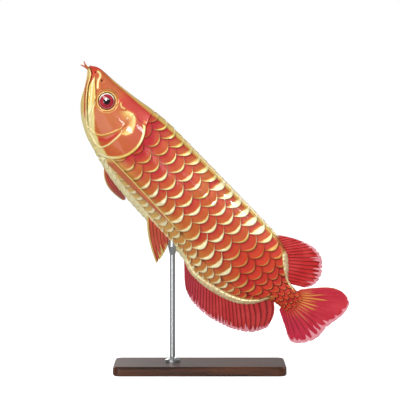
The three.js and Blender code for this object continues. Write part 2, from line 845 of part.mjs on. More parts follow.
// The stand, in the frame of the base's underside
function standBase() {

	const { width, depth, height, corner, bevel } = BASE;
	const x = width / 2 - corner;
	const y = depth / 2 - corner;
	const shape = new THREE.Shape();
	const radius = corner - bevel;
	shape.absarc( x, y, radius, 0, Math.PI / 2 );
	shape.absarc( - x, y, radius, Math.PI / 2, Math.PI );
	shape.absarc( - x, - y, radius, Math.PI, Math.PI * 1.5 );
	shape.absarc( x, - y, radius, Math.PI * 1.5, Math.PI * 2 );
	return new THREE.ExtrudeGeometry( shape, {
		depth: height - 2 * bevel, bevelThickness: bevel, bevelSize: bevel, bevelSegments: 1, curveSegments: 4,
	} ).translate( 0, 0, bevel );

}

function standRod( body ) {

	const { radius, footRadius, footHeight, cupRadius, cupHeight, sunk, sides } = ROD;
	const foot = BASE.height + GAP;
	const belly = bellyHeight();
	const outline = [
		[ 0, foot ], [ footRadius, foot ], [ footRadius, foot + footHeight * 0.6 ],
		[ radius * 1.4, foot + footHeight ], [ radius, foot + footHeight * 1.3 ],
		[ radius, belly - cupHeight ], [ cupRadius, belly ], [ cupRadius, belly + sunk ], [ 0, belly + sunk ],
	];
	const rod = new THREE.LatheGeometry( outline.map( ( [ r, z ] ) => new THREE.Vector2( r, z ) ), sides );
	rod.rotateX( Math.PI / 2 );
	rod.translate( ROD.x, sway( rodPlace().x ), 0 );
	const offsets = [ [ 0, 0, 0 ], [ 0, 0, - 1 ], [ 0.8, 0, - 0.8 ], [ - 0.8, 0, - 0.8 ] ];
	return standOff( toSolid( rod ), body, offsets );

}

// Where the rod meets the belly, in the fish's own frame
function rodPlace() {

	let x = 200;
	const step = 0.5;
	while ( toWorld( x, bellyLine( x ) ).x < ROD.x ) x += step;
	return { x, z: bellyLine( x ) };

}

function bellyHeight() {

	const place = rodPlace();
	return toWorld( place.x, place.z ).z;

}

function toWorld( x, z ) {

	return {
		x: SNOUT.x + x * Math.cos( PITCH ) + z * Math.sin( PITCH ),
		z: SNOUT.height - x * Math.sin( PITCH ) + z * Math.cos( PITCH ),
	};

}

// The whole model
function piece( name, geometry, finish ) {

	const mesh = new THREE.Mesh( geometry, new THREE.MeshStandardMaterial( FINISH[ finish ] ) );
	mesh.name = name;
	return mesh;

}

function finishOf( name ) {

	if ( name.startsWith( 'eye' ) ) return 'eye';
	if ( name.includes( 'fin' ) || name.startsWith( 'barbel' ) ) return 'fin';
	if ( name.startsWith( 'gill' ) || name.startsWith( 'cheek' ) ) return 'plate';
	if ( name.startsWith( 'maxilla' ) || name === 'lower_jaw' ) return 'jaw';
	return 'flesh';

}

function fishSolids() {

	const outline = headOutlines();
	const heads = headPieces();
	const whole = scaledTrunk()
		.subtract( slab( outline.head, 0, GAP ) ).subtract( slab( outline.gill, 0, GAP ) );
	const trunk = trunkPieces( whole );
	const solids = { ...heads, ...trunk };
	solids.barbel_left = standOff( barbel( LEFT, 4 ), heads.lower_jaw, [ [ - 1, 0, 0 ], [ 0, 0, 0 ] ] );
	solids.barbel_right = standOff( barbel( RIGHT, - 5 ), heads.lower_jaw, [ [ - 1, 0, 0 ], [ 0, 0, 0 ] ] );
	solids.dorsal_fin = standOff( dorsalFin(), whole, [ [ 0.8, 0, 1 ] ] );
	solids.anal_fin = standOff( analFin(), whole, [ [ 0.8, 0, - 1 ] ] );
	solids.caudal_fin = caudalFin();
	for ( const side of [ LEFT, RIGHT ] ) {

		const name = side === LEFT ? 'left' : 'right';
		const off = [ [ 0, side, - 0.4 ], [ 0, side * 0.3, - 1 ], [ 0, 0, 0 ] ];
		const neighbours = [ trunk.trunk_front, heads.head, heads[ `gill_cover_${ name }` ] ];
		solids[ `pectoral_fin_${ name }` ] =
			neighbours.reduce( ( fin, neighbour ) => standOff( fin, neighbour, off ), pectoralFin( side ) );
		solids[ `pelvic_fin_${ name }` ] = standOff( pelvicFin( side ), whole, off );

	}

	return solids;

}

function makeModel() {

	const model = new THREE.Group();
	const fish = new THREE.Group();
	fish.position.set( SNOUT.x, 0, SNOUT.height );
	fish.rotation.y = PITCH;
	const solids = fishSolids();
	for ( const [ name, solid ] of Object.entries( solids ) ) {

		fish.add( piece( name, toGeometry( solid ), finishOf( name ) ) );

	}

	model.add( fish );
	fish.updateMatrixWorld( true );
	const carried = fish.getObjectByName( 'trunk_rear' ).geometry.clone().applyMatrix4( fish.matrixWorld );
	model.add( piece( 'stand_base', standBase(), 'wood' ) );
	model.add( piece( 'stand_rod', toGeometry( standRod( toSolid( carried ) ), () => 0 ), 'steel' ) );
	return model;

}

export default makeModel();
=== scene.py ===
"""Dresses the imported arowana: one skin, overlapping scales, rayed fins, eyes and a display stand.

Everything is in metres. The fish is worked out level, in its own frame: x runs from the snout
to the tail, z is up the back and its left side is at negative y. Body.to_world then puts in the
swing of the tail, tips the fish nose-up and sets it over the base, where the frame has it.
"""

from __future__ import annotations

import logging
import math
from dataclasses import dataclass, field
from enum import Enum
from typing import Any, Callable, Sequence

import bpy
import numpy as np
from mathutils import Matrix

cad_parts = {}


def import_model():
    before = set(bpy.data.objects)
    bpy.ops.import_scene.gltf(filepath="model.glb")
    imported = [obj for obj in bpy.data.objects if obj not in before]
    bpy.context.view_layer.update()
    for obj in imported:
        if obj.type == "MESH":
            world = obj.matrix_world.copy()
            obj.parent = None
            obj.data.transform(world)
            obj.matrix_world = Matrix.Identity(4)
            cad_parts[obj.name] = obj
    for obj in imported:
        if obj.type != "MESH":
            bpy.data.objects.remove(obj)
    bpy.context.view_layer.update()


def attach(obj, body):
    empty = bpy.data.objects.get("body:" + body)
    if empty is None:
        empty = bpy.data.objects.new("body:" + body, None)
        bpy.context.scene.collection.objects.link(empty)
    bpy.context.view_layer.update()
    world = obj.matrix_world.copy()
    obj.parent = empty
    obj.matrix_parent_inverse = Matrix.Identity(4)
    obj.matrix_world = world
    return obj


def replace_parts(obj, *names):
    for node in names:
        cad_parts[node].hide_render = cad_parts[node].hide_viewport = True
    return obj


Array = np.ndarray
Points = Sequence[tuple[float, float]]
FinField = Callable[[Array, Array], Array]
log = logging.getLogger("arowana")

ROOT = "root"
SEED = 20

# The body outline, as the solids have it: (x, value)
BACK_LINE = (
    (0.0, 0.002), (0.007, 0.007), (0.017, 0.01), (0.047, 0.0125), (0.088, 0.018), (0.128, 0.025),
    (0.17, 0.0285), (0.33, 0.0295), (0.416, 0.029), (0.436, 0.0255), (0.458, 0.018),
    (0.475, 0.005), (0.49, -0.009), (0.502, -0.013), (0.53, -0.013),
)
BELLY_LINE = (
    (0.0, -0.006), (0.007, -0.015), (0.017, -0.03), (0.027, -0.047), (0.037, -0.059),
    (0.057, -0.075), (0.088, -0.09), (0.128, -0.1), (0.169, -0.108), (0.25, -0.1125),
    (0.335, -0.1125), (0.373, -0.121), (0.417, -0.116), (0.458, -0.1), (0.481, -0.079),
    (0.492, -0.06), (0.502, -0.054), (0.53, -0.051),
)
HALF_WIDTH = (
    (0.0, 0.004), (0.008, 0.01), (0.025, 0.0165), (0.061, 0.0225), (0.11, 0.028), (0.14, 0.0295),
    (0.26, 0.0295), (0.34, 0.0275), (0.4, 0.023), (0.45, 0.016), (0.49, 0.01), (0.53, 0.007),
)
FLAT_BACK = ((0.0, 0.45), (0.09, 0.42), (0.2, 0.25), (0.4, 0.2), (0.5, 0.05), (0.53, 0.0))
KEEL = ((0.0, 0.0), (0.06, 0.15), (0.13, 0.5), (0.25, 0.6), (0.4, 0.5), (0.5, 0.1), (0.53, 0.0))

# Lines of the head, in x and z
MOUTH_LINE = (
    (-0.006, -0.001), (0.009, -0.0055), (0.022, -0.025), (0.035, -0.04), (0.049, -0.054),
    (0.066, -0.069), (0.08, -0.079),
)
MAXILLA_TOP = (
    (0.014, 0.0), (0.022, -0.009), (0.0347, -0.0202), (0.045, -0.030), (0.0505, -0.040),
    (0.0565, -0.051), (0.0624, -0.0625), (0.070, -0.071),
)
GILL_FRONT = ((0.108, -0.003), (0.115, -0.025), (0.117, -0.048), (0.112, -0.072), (0.101, -0.092))
NAPE_LINE = ((0.138, -0.002), (0.131, 0.012), (0.127, 0.045))
CHEEK_RIDGE = (
    (0.1115, -0.033), (0.1065, -0.047), (0.101, -0.059), (0.0946, -0.0676), (0.0845, -0.0727),
    (0.0722, -0.0730),
)
GILL_RIDGE = (
    (0.1155, -0.030), (0.1170, -0.045), (0.1165, -0.060), (0.1150, -0.071), (0.1093, -0.0817),
    (0.1020, -0.0838), (0.0926, -0.0819), (0.0722, -0.0739), (0.0624, -0.0645), (0.0565, -0.0525),
    (0.0500, -0.0380),
)
CREAM_LINE = (
    (0.036, -0.060), (0.046, -0.034), (0.0545, -0.043), (0.0658, -0.0525), (0.075, -0.0610),
    (0.0834, -0.0685), (0.0946, -0.0730), (0.1048, -0.0785), (0.1150, -0.0790), (0.1273, -0.0825),
    (0.1386, -0.0853), (0.2, -0.096),
)
RED_PATCH = ((0.097, -0.0745), (0.108, -0.0655), (0.1125, -0.052), (0.1135, -0.042))
# Painted highlights on the gill cover: a thin pale arc and a broad pale sheen.
PAINTED_SHEEN_ARC = ((0.0800, -0.0050), (0.0825, -0.0078), (0.0868, -0.0088), (0.0910, -0.0072))
PAINTED_SHEEN_LINE = (
    (0.0985, -0.0075), (0.1090, -0.0045), (0.1165, -0.0085), (0.1230, -0.0175), (0.1265, -0.0275),
    (0.1235, -0.0355),
)
# Painted highlights: a pale line down the snout, the white middle of the maxilla and a pale line at the
# front of the lips.
SNOUT_HIGHLIGHT_LINE = (
    (0.0150, 0.0036), (0.0200, 0.0034), (0.0240, 0.0), (0.0255, -0.0050), (0.0290, -0.0100),
    (0.0346, -0.0156),
)
LIP_HIGHLIGHT_CORE = (
    (0.0165, -0.0085), (0.0260, -0.0205), (0.0390, -0.0350), (0.0500, -0.0480), (0.0590, -0.0590),
    (0.0670, -0.0690),
)
LIP_HIGHLIGHT_LINE = ((0.0, -0.0022), (0.0035, -0.0045), (0.0071, -0.0080))
COLLAR_MARKS = ((0.1300, 0.0015), (0.1385, 0.0035), (0.1440, 0.0085), (0.1500, 0.0070))

# Free edges of the upright fins, in x and z
DORSAL_EDGE = (
    (0.424, 0.03), (0.44, 0.041), (0.458, 0.051), (0.474, 0.057), (0.49, 0.0595), (0.505, 0.0555),
    (0.518, 0.045), (0.528, 0.028), (0.528, 0.014), (0.522, 0.001),
)
ANAL_EDGE = (
    (0.370, -0.1375), (0.383, -0.1465), (0.396, -0.1515), (0.41, -0.1535), (0.44, -0.1515),
    (0.47, -0.143), (0.497, -0.130), (0.516, -0.113), (0.526, -0.092),
)
CAUDAL_EDGE = (
    (0.518, -0.006), (0.534, 0.014), (0.555, 0.035), (0.575, 0.042), (0.592, 0.037), (0.599, 0.02),
    (0.596, -0.02), (0.5975, -0.045), (0.588, -0.066), (0.571, -0.08), (0.545, -0.0695),
    (0.518, -0.057),
)


class Side(Enum):
    """The two sides of the fish, by the sign of y."""

    LEFT = -1
    RIGHT = 1


def smooth(value: Array, low: float | Array, high: float | Array) -> Array:
    """Rises softly from 0 at low to 1 at high."""
    t = np.clip((value - low) / (high - low), 0, 1)
    return t * t * (3 - 2 * t)


def bell(value: Array, width: float) -> Array:
    """A soft bump, 1 where value is 0."""
    return np.exp(-((value / width) ** 2))


def mixed(a: Array, b: Array, share: Array) -> Array:
    """Goes from a to b."""
    return a + (b - a) * share


def between(value: Array, rise: tuple[float, float], fall: tuple[float, float]) -> Array:
    """1 between a soft rise and a soft fall, and 0 beyond them."""
    return smooth(value, *rise) * (1 - smooth(value, *fall))


@dataclass(frozen=True)
class Profile:
    """A smooth function through (x, value) points."""

    points: Points

    def __call__(self, x: Array) -> Array:
        """Reads the function.

        Args:
            x: Where to read it.

        Returns:
            The value at each x.
        """
        xs, ys = np.array(self.points).T
        count = len(xs)
        before = np.maximum(np.arange(count) - 1, 0)
        after = np.minimum(np.arange(count) + 1, count - 1)
        slope = (ys[after] - ys[before]) / (xs[after] - xs[before])
        i = np.clip(np.searchsorted(xs, x) - 1, 0, count - 2)
        span = xs[i + 1] - xs[i]
        t = np.clip((x - xs[i]) / span, 0, 1)
        rise = t * t * (3 - 2 * t)
        bulge = slope[i] * t * (1 - t) ** 2 - slope[i + 1] * t * t * (1 - t)
        return ys[i] + (ys[i + 1] - ys[i]) * rise + span * bulge


@dataclass(frozen=True)
class Curve:
    """A rounded line through a few points in two or three dimensions."""

    points: Sequence[Sequence[float]]
    steps: int = 24

    def samples(self) -> Array:
        """Follows the curve in short steps.

        Returns:
            Its points, close together.
        """
        p = np.array(self.points, float)
        p = np.vstack([2 * p[0] - p[1], p, 2 * p[-1] - p[-2]])
        gap = np.maximum(np.linalg.norm(np.diff(p, axis=0), axis=1), 1e-9) ** 0.5
        t = np.linspace(0, 1, self.steps, endpoint=False)[:, None]
        out = []
        for i in range(1, len(p) - 2):
            a, b, c, d = p[i - 1 : i + 3]
            g0, g1, g2 = gap[i - 1 : i + 2]
            start = ((b - a) / g0 - (c - a) / (g0 + g1) + (c - b) / g1) * g1
            stop = ((c - b) / g1 - (d - b) / (g1 + g2) + (d - c) / g2) * g1
            rise = t * t * (3 - 2 * t)
            out.append(b + (c - b) * rise + start * t * (1 - t) ** 2 - stop * t * t * (1 - t))
        return np.vstack([*out, p[-2][None]])

    def at(self, u: Array) -> Array:
        """Reads the curve by length.

        Args:
            u: Shares of its length, from 0 to 1.

        Returns:
            A point for each share.
        """
        p = self.samples()
        length = np.concatenate([[0], np.cumsum(np.linalg.norm(np.diff(p, axis=0), axis=1))])
        target = np.asarray(u) * length[-1]
        return np.stack([np.interp(target, length, p[:, k]) for k in range(p.shape[1])], axis=-1)


def distance_to(track: Array, x: Array, z: Array) -> Array:
    """Measures from places to an open line of straight pieces.

    Args:
        track: The line's points, in x and z.
        x: The places' x.
        z: The places' z.

    Returns:
        The distance for each place.
    """
    best = np.full(x.shape, np.inf)
    for (ax, az), (bx, bz) in zip(track[:-1], track[1:]):
        dx, dz = bx - ax, bz - az
        t = np.clip(((x - ax) * dx + (z - az) * dz) / (dx * dx + dz * dz + 1e-18), 0, 1)
        best = np.minimum(best, np.hypot(x - ax - t * dx, z - az - t * dz))
    return best


def depth_inside(outline: Array, x: Array, z: Array) -> Array:
    """Measures from places to the edge of a closed outline.

    Args:
        outline: The outline's points, in x and z.
        x: The places' x.
        z: The places' z.

    Returns:
        The distance for each place, positive inside and negative outside.
    """
    loop = np.vstack([outline, outline[:1]])
    inside = np.zeros(x.shape, bool)
    for (ax, az), (bx, bz) in zip(loop[:-1], loop[1:]):
        if az == bz:
            continue
        crosses = (az > z) != (bz > z)
        inside ^= crosses & (x < (bx - ax) * (z - az) / (bz - az) + ax)
    return np.where(inside, 1, -1) * distance_to(loop, x, z)


@dataclass
class Body:
    """The fish's plain form, and where it stands in the world."""

    widest: float = 0.42
    sway_start: float = 0.190
    sway_end: float = 0.598
    sway_reach: float = 0.016
    pitch: float = math.radians(46)
    snout_x: float = -0.184
    snout_height: float = 0.516
    taper_from: float = 0.506
    taper_to: float = 0.538
    taper_left: float = 0.3
    table_end: float = 0.545
    table_step: float = 0.001
    table_angles: int = 97
    table_shares: int = 241
    table: Array = field(init=False, repr=False)

    def __post_init__(self) -> None:
        """Works out the table of section angles by share of the girth."""
        self.back = Profile(BACK_LINE)
        self.belly = Profile(BELLY_LINE)
        self.half_width = Profile(HALF_WIDTH)
        self.flat_back = Profile(FLAT_BACK)
        self.keel = Profile(KEEL)
        xs = np.arange(0, self.table_end, self.table_step)
        angles = np.linspace(0, math.pi, self.table_angles)
        shares = np.linspace(0, 1, self.table_shares)
        y, z = self.section(xs[:, None], angles[None, :])
        steps = np.hypot(np.diff(y, axis=1), np.diff(z, axis=1))
        length = np.concatenate([np.zeros((len(xs), 1)), np.cumsum(steps, axis=1)], axis=1)
        self.table = np.array([np.interp(shares * row[-1], row, angles) for row in length])

    def section(self, x: Array, angle: Array) -> tuple[Array, Array]:
        """Gives the outline of the plain form across the fish.

        Args:
            x: The distance from the snout.
            angle: The section angle, 0 at the back and pi at the belly.

        Returns:
            How far out and how high the side is.
        """
        top, bottom = self.back(x), self.belly(x)
        middle = mixed(top, bottom, self.widest)
        up = np.cos(angle)
        reach = np.where(up > 0, top - middle, middle - bottom)
        power = 1 + np.where(up > 0, -self.flat_back(x), self.keel(x)) * up * up
        thin = 1 - (1 - self.taper_left) * smooth(x, self.taper_from, self.taper_to)
        across = self.half_width(x) * thin * np.maximum(np.sin(angle), 0) ** power
        return across, middle + reach * up

    def angle(self, x: Array, share: Array) -> Array:
        """Finds a place round the half girth in the table.

        Args:
            x: The distance from the snout.
            share: The share of the half girth, from 0 on the back to 1.

        Returns:
            The section angle.
        """
        i = np.clip(x / self.table_step, 0, self.table.shape[0] - 1.001)
        j = np.clip(share, 0, 1) * (self.table_shares - 1.001)
        i0, j0 = np.floor(i).astype(int), np.floor(j).astype(int)
        fi, fj = i - i0, j - j0
        low = mixed(self.table[i0, j0], self.table[i0, j0 + 1], fj)
        high = mixed(self.table[i0 + 1, j0], self.table[i0 + 1, j0 + 1], fj)
        return mixed(low, high, fi)

    def point(self, x: Array, ring: Array) -> Array:
        """A point of the plain surface.

        Args:
            x: The distance from the snout.
            ring: 0 on the back, -1 and 1 on the belly, below 0 on the left side.

        Returns:
            The points, with their three values last.
        """
        x, ring = np.broadcast_arrays(x, ring)
        wrapped = np.mod(ring + 1, 2) - 1
        across, z = self.section(x, self.angle(x, np.abs(wrapped)))
        return np.stack([x, np.sign(wrapped) * across, z], axis=-1)

    def place(self, x: Array, ring: Array, lift: Array) -> Array:
        """Gives a point that stands off the plain surface.

        Args:
            x: The distance from the snout.
            ring: The place round the fish, as in point.
            lift: How far it stands off.

        Returns:
            The points, with their three values last.
        """
        step, turn = 0.001, 0.006
        along = self.point(x + step, ring) - self.point(x - step, ring)
        around = self.point(x, ring + turn) - self.point(x, ring - turn)
        normal = np.cross(along, around)
        normal /= np.linalg.norm(normal, axis=-1, keepdims=True) + 1e-12
        return self.point(x, ring) + normal * np.asarray(lift)[..., None]

    def to_world(self, points: Array) -> Array:
        """Bends the tail, tips the fish nose-up and sets it over the base.

        Args:
            points: Points in the fish's own frame.

        Returns:
            The points where the frame has the fish.
        """
        x, y, z = np.moveaxis(points, -1, 0)
        part = np.maximum(0, (x - self.sway_start) / (self.sway_end - self.sway_start))
        c, s = math.cos(self.pitch), math.sin(self.pitch)
        side = y + self.sway_reach * part * part
        return np.stack(
            [self.snout_x + x * c + z * s, side, self.snout_height - x * s + z * c], axis=-1
        )


BODY = Body()


# Shader maths
class Signal:
    """A socket of a node tree that takes part in arithmetic."""

    def __init__(self, kit: "NodeKit", socket: bpy.types.NodeSocket) -> None:
        """Wraps an output socket."""
        self.kit = kit
        self.socket = socket

    def _math(self, operation: str, *values: Any) -> "Signal":
        """Adds a Math node over these values."""
        return self.kit.read("ShaderNodeMath", 0, {"operation": operation}, dict(enumerate(values)))

    def __add__(self, other: Any) -> "Signal":
        """self + other."""
        return self._math("ADD", self, other)

    def __radd__(self, other: Any) -> "Signal":
        """other + self."""
        return self._math("ADD", other, self)

    def __sub__(self, other: Any) -> "Signal":
        """self - other."""
        return self._math("SUBTRACT", self, other)

    def __rsub__(self, other: Any) -> "Signal":
        """other - self."""
        return self._math("SUBTRACT", other, self)

    def __mul__(self, other: Any) -> "Signal":
        """self * other."""
        return self._math("MULTIPLY", self, other)

    def __rmul__(self, other: Any) -> "Signal":
        """other * self."""
        return self._math("MULTIPLY", other, self)

    def sine(self) -> "Signal":
        """The sine of the value."""
        return self._math("SINE", self)

    def ramp(self, low: float, high: float) -> "Signal":
        """Rises softly from 0 at low to 1 at high."""
        values = {"Value": self, "From Min": low, "From Max": high}
        return self.kit.read("ShaderNodeMapRange", 0, {"interpolation_type": "SMOOTHSTEP"}, values)

    def peak(self, centre: float, width: float) -> "Signal":
        """A soft bump about a centre."""
        return self.ramp(centre - width, centre) * (1 - self.ramp(centre, centre + width))


class NodeKit:
    """Builds the node tree of one material or of the world."""

    def __init__(self, owner: bpy.types.ID, output: str = "ShaderNodeOutputMaterial") -> None:
        """Empties the tree and gives it an output node.

        Args:
            owner: The material or world.
            output: The type of its output node.
        """
        owner.use_nodes = True
        self.owner = owner
        self.tree = owner.node_tree
        self.tree.nodes.clear()
        self.output = self.node(output, {}, {})

    def node(self, kind: str, settings: dict[str, Any], values: dict[Any, Any]) -> bpy.types.Node:
        """Adds a node.

        Args:
            kind: The node's type.
            settings: Its own settings, which are set first.
            values: A number, vector, colour code or Signal for each named or numbered input.

        Returns:
            The new node.
        """
        node = self.tree.nodes.new(kind)
        for key, value in settings.items():
            setattr(node, key, value)
        for key, value in values.items():
            if isinstance(value, Signal):
                self.tree.links.new(value.socket, node.inputs[key])
            else:
                node.inputs[key].default_value = paint(value) if isinstance(value, str) else value
        return node

    def read(
        self, kind: str, output: str | int, settings: dict[str, Any] | None = None,
        values: dict[Any, Any] | None = None,
    ) -> Signal:
        """Adds a node and reads one of its outputs.

        Args:
            kind: The node's type.
            output: The output's name or number.
            settings: The node's own settings.
            values: What its inputs get.

        Returns:
            The output.
        """
        return Signal(self, self.node(kind, settings or {}, values or {}).outputs[output])

    def mask(self, name: str) -> Signal:
        """A value stored on the mesh's points."""
        return self.read("ShaderNodeAttribute", "Fac", {"attribute_name": name})

    def vector(self, name: str) -> Signal:
        """A vector stored on the mesh's points."""
        return self.read("ShaderNodeAttribute", "Vector", {"attribute_name": name})

    def place(self) -> Signal:
        """The place in the object's own frame."""
        return self.read("ShaderNodeTexCoord", "Object")

    def stretched(self, vector: Signal, scale: tuple[float, float, float]) -> Signal:
        """A vector with each axis scaled."""
        return self.read("ShaderNodeVectorMath", 0, {"operation": "MULTIPLY"}, {0: vector, 1: scale})

    def noise(self, vector: Signal, scale: float, detail: float = 3, rough: float = 0.55) -> Signal:
        """Cloudy noise from 0 to 1, scale counted per metre."""
        values = {"Vector": vector, "Scale": scale, "Detail": detail, "Roughness": rough}
        return self.read("ShaderNodeTexNoise", "Fac", values=values)

    def cells(self, vector: Signal, scale: float) -> Signal:
        """The distance to the nearest of scattered points."""
        return self.read("ShaderNodeTexVoronoi", "Distance", values={"Vector": vector, "Scale": scale})

    def mix(self, share: Any, a: Any, b: Any) -> Signal:
        """Goes from colour a to colour b."""
        settings = {"data_type": "RGBA", "clamp_factor": True}
        return self.read("ShaderNodeMix", 2, settings, {0: share, 6: a, 7: b})

    def layers(self, base: Any, over: Sequence[tuple[Any, Any]]) -> Signal:
        """Lays colours over one another.

        Args:
            base: The lowest colour.
            over: The share and the colour of each further layer, from below.

        Returns:
            The colour that shows.
        """
        for share, colour in over:
            base = self.mix(share, base, colour)
        return base

    def shade(self, colour: Any, factor: Signal) -> Signal:
        """A colour made lighter or darker by a factor."""
        values = {0: colour, "Scale": factor}
        return self.read("ShaderNodeVectorMath", 0, {"operation": "SCALE"}, values)

    def bump(self, height: Signal, distance: float) -> Signal:
        """A normal from a height, distance in metres for a height of 1."""
        return self.read("ShaderNodeBump", 0, values={"Distance": distance, "Height": height})

    def finish(self, values: dict[str, Any], shader: str = "ShaderNodeBsdfPrincipled") -> bpy.types.ID:
        """Ends the tree in its shader.

        Args:
            values: What each of the shader's inputs gets.
            shader: The shader's type.

        Returns:
            The finished material or world.
        """
        node = self.node(shader, {}, values)
        self.tree.links.new(node.outputs[0], self.output.inputs[0])
        return self.owner


def paint(code: str) -> tuple[float, float, float, float]:
    """Turns a colour code into the linear values that a node takes.

    Args:
        code: The six digits after a number sign.

    Returns:
        Red, green, blue and a full alpha.
    """
    parts = [int(code[i : i + 2], 16) / 255 for i in (1, 3, 5)]
    linear = [p / 12.92 if p <= 0.04045 else ((p + 0.055) / 1.055) ** 2.4 for p in parts]
    return (*linear, 1.0)


@dataclass(frozen=True)
class Palette:
    """The fish's own colours, with the dark of its painted shade and a scarlet that is partly painted
    light.
    """

    coral: str = "#cb4427"
    tan: str = "#ba602e"
    scarlet: str = "#d7442d"
    ruby: str = "#b2222c"
    gold: str = "#d3a548"
    straw: str = "#dfcf78"
    cream: str = "#f3e8b8"
    peach: str = "#cf7a4e"
    amber: str = "#e3a04a"
    # A dark for painted shade in grooves, pits, the gill slit and under the scale edges.
    dusk: str = "#3c0f0c"
    crimson: str = "#c81e24"
    rose: str = "#d83d3e"
    plum: str = "#98203c"
    rouge: str = "#c02848"
    ray: str = "#5e0a0d"
    pink: str = "#eb9ba6"


PALETTE = Palette()


@dataclass(frozen=True)
class HideFinish:
    """The fish's skin and scales: one set of markings, read from masks on the mesh."""

    name: str
    roughness: float = 0.36
    coat: float = 0.26
    rim_coat: float = 0.2
    coat_roughness: float = 0.05
    gloss: float = 0.2
    clouds: float = 60.0
    mottles: float = 240.0
    grain: float = 900.0
    grain_depth: float = 0.00012

    def build(self, extra_height: Callable[[NodeKit], Signal] | None = None) -> bpy.types.Material:
        """Makes the material.

        Args:
            extra_height: Adds relief of its own, in units of grain_depth.

        Returns:
            The material.
        """
        kit = NodeKit(bpy.data.materials.new(self.name))
        place = kit.place()
        cloud = kit.noise(place, self.clouds, 4)
        fine = kit.noise(place, self.grain, 3, 0.6)
        cells = kit.cells(kit.stretched(place, (1.0, 0.5, 1.0)), self.mottles)
        mottle = cells.ramp(0.3, 0.75) * kit.mask("fold")
        gold, cream, tan = kit.mask("gold"), kit.mask("cream"), kit.mask("tan")
        metal = kit.layers(kit.mix(cream, PALETTE.gold, PALETTE.straw), [
            ((cream - 0.55) * 2.2, PALETTE.cream),
            (mottle * 0.4, PALETTE.peach),
        ])
        flesh = kit.mix(tan + (cloud - 0.5) * 0.9 * tan, PALETTE.coral, PALETTE.tan)
        colour = kit.layers(flesh, [
            # The scarlet layer is partly painted light toward the tail.
            (kit.mask("scarlet"), PALETTE.scarlet),
            (kit.mask("ruby") * (cloud * 0.5 + 0.75), PALETTE.ruby),
            (gold * (fine * 0.3 + 0.85), metal),
            # Painted shade darkens grooves, pits, the gill slit and the scale edges.
            (kit.mask("dusk"), PALETTE.dusk),
        ])
        height = fine - mottle * 2.5
        if extra_height:
            height = height + extra_height(kit)
        return kit.finish({
            "Base Color": kit.shade(colour, fine * 0.22 + cloud * 0.2 + 0.8),
            "Metallic": gold * 0.15 + 0.05,
            "Roughness": cloud * 0.14 + (self.roughness - 0.07),
            "Coat Weight": gold * self.rim_coat + self.coat,
            "Coat Roughness": self.coat_roughness,
            "Specular IOR Level": self.gloss,
            "Normal": kit.bump(height, self.grain_depth),
        })


def scale_rings(kit: NodeKit) -> Signal:
    """Gives a scale its growth rings and fine spokes.

    Args:
        kit: The tree of the scales' finish.

    Returns:
        The height, in units of the finish's grain_depth.
    """
    rings = (kit.mask("rings") * 260).sine() * 0.35
    spokes = kit.noise(kit.stretched(kit.vector("local"), (5.0, 0.6, 1.0)), 6, 2) * 1.2
    return rings + spokes


@dataclass(frozen=True)
class FinFinish:
    """A fin's membrane, rays and pale torn margin."""

    name: str
    coat: float = 0.08
    gloss: float = 0.18
    relief: float = 0.0003

    def build(self) -> bpy.types.Material:
        """Makes the material.

        Returns:
            The material.
        """
        kit = NodeKit(bpy.data.materials.new(self.name))
        place = kit.place()
        cloud = kit.noise(place, 38, 4)
        thread = kit.noise(kit.stretched(kit.vector("local"), (60.0, 2.0, 1.0)), 3, 3)
        joints = (kit.mask("out") * 520).sine().ramp(0.6, 1.0)
        ray = kit.mask("ray")
        colour = kit.layers(kit.mix(cloud.ramp(0.35, 0.7), PALETTE.crimson, PALETTE.rose), [
            (kit.mask("plum") * (cloud * 0.8 + 0.5), PALETTE.plum),
            (thread.ramp(0.5, 0.7) * 0.35, PALETTE.ruby),
            ((1 - thread.ramp(0.3, 0.5)) * 0.55, PALETTE.coral),
            (kit.mask("rouge"), PALETTE.rouge),
            (kit.mask("tan") * (thread * 0.5 + 0.6), PALETTE.peach),
            (ray * (thread * 0.4 + 0.6), PALETTE.ray),
            (kit.mask("amber") * (thread * 0.9 + 0.4), PALETTE.amber),
            (kit.mask("gold") * (thread * 0.9 + 0.45), PALETTE.straw),
            (kit.mask("pale") * (thread * 0.5 + 0.7), PALETTE.pink),
        ])
        height = thread * 0.4 + ray * joints * 0.5 + kit.noise(place, 700, 2) * 0.3
        return kit.finish({
            # A per-fin factor lightens or darkens the colour as painted light and shade.
            "Base Color": kit.shade(colour, (cloud * 0.25 + 0.87) * kit.mask("bright")),
            "Roughness": cloud * 0.15 + 0.32,
            "Coat Weight": self.coat,
            "Coat Roughness": 0.15,
            "Specular IOR Level": self.gloss,
            "Normal": kit.bump(height, self.relief),
        })


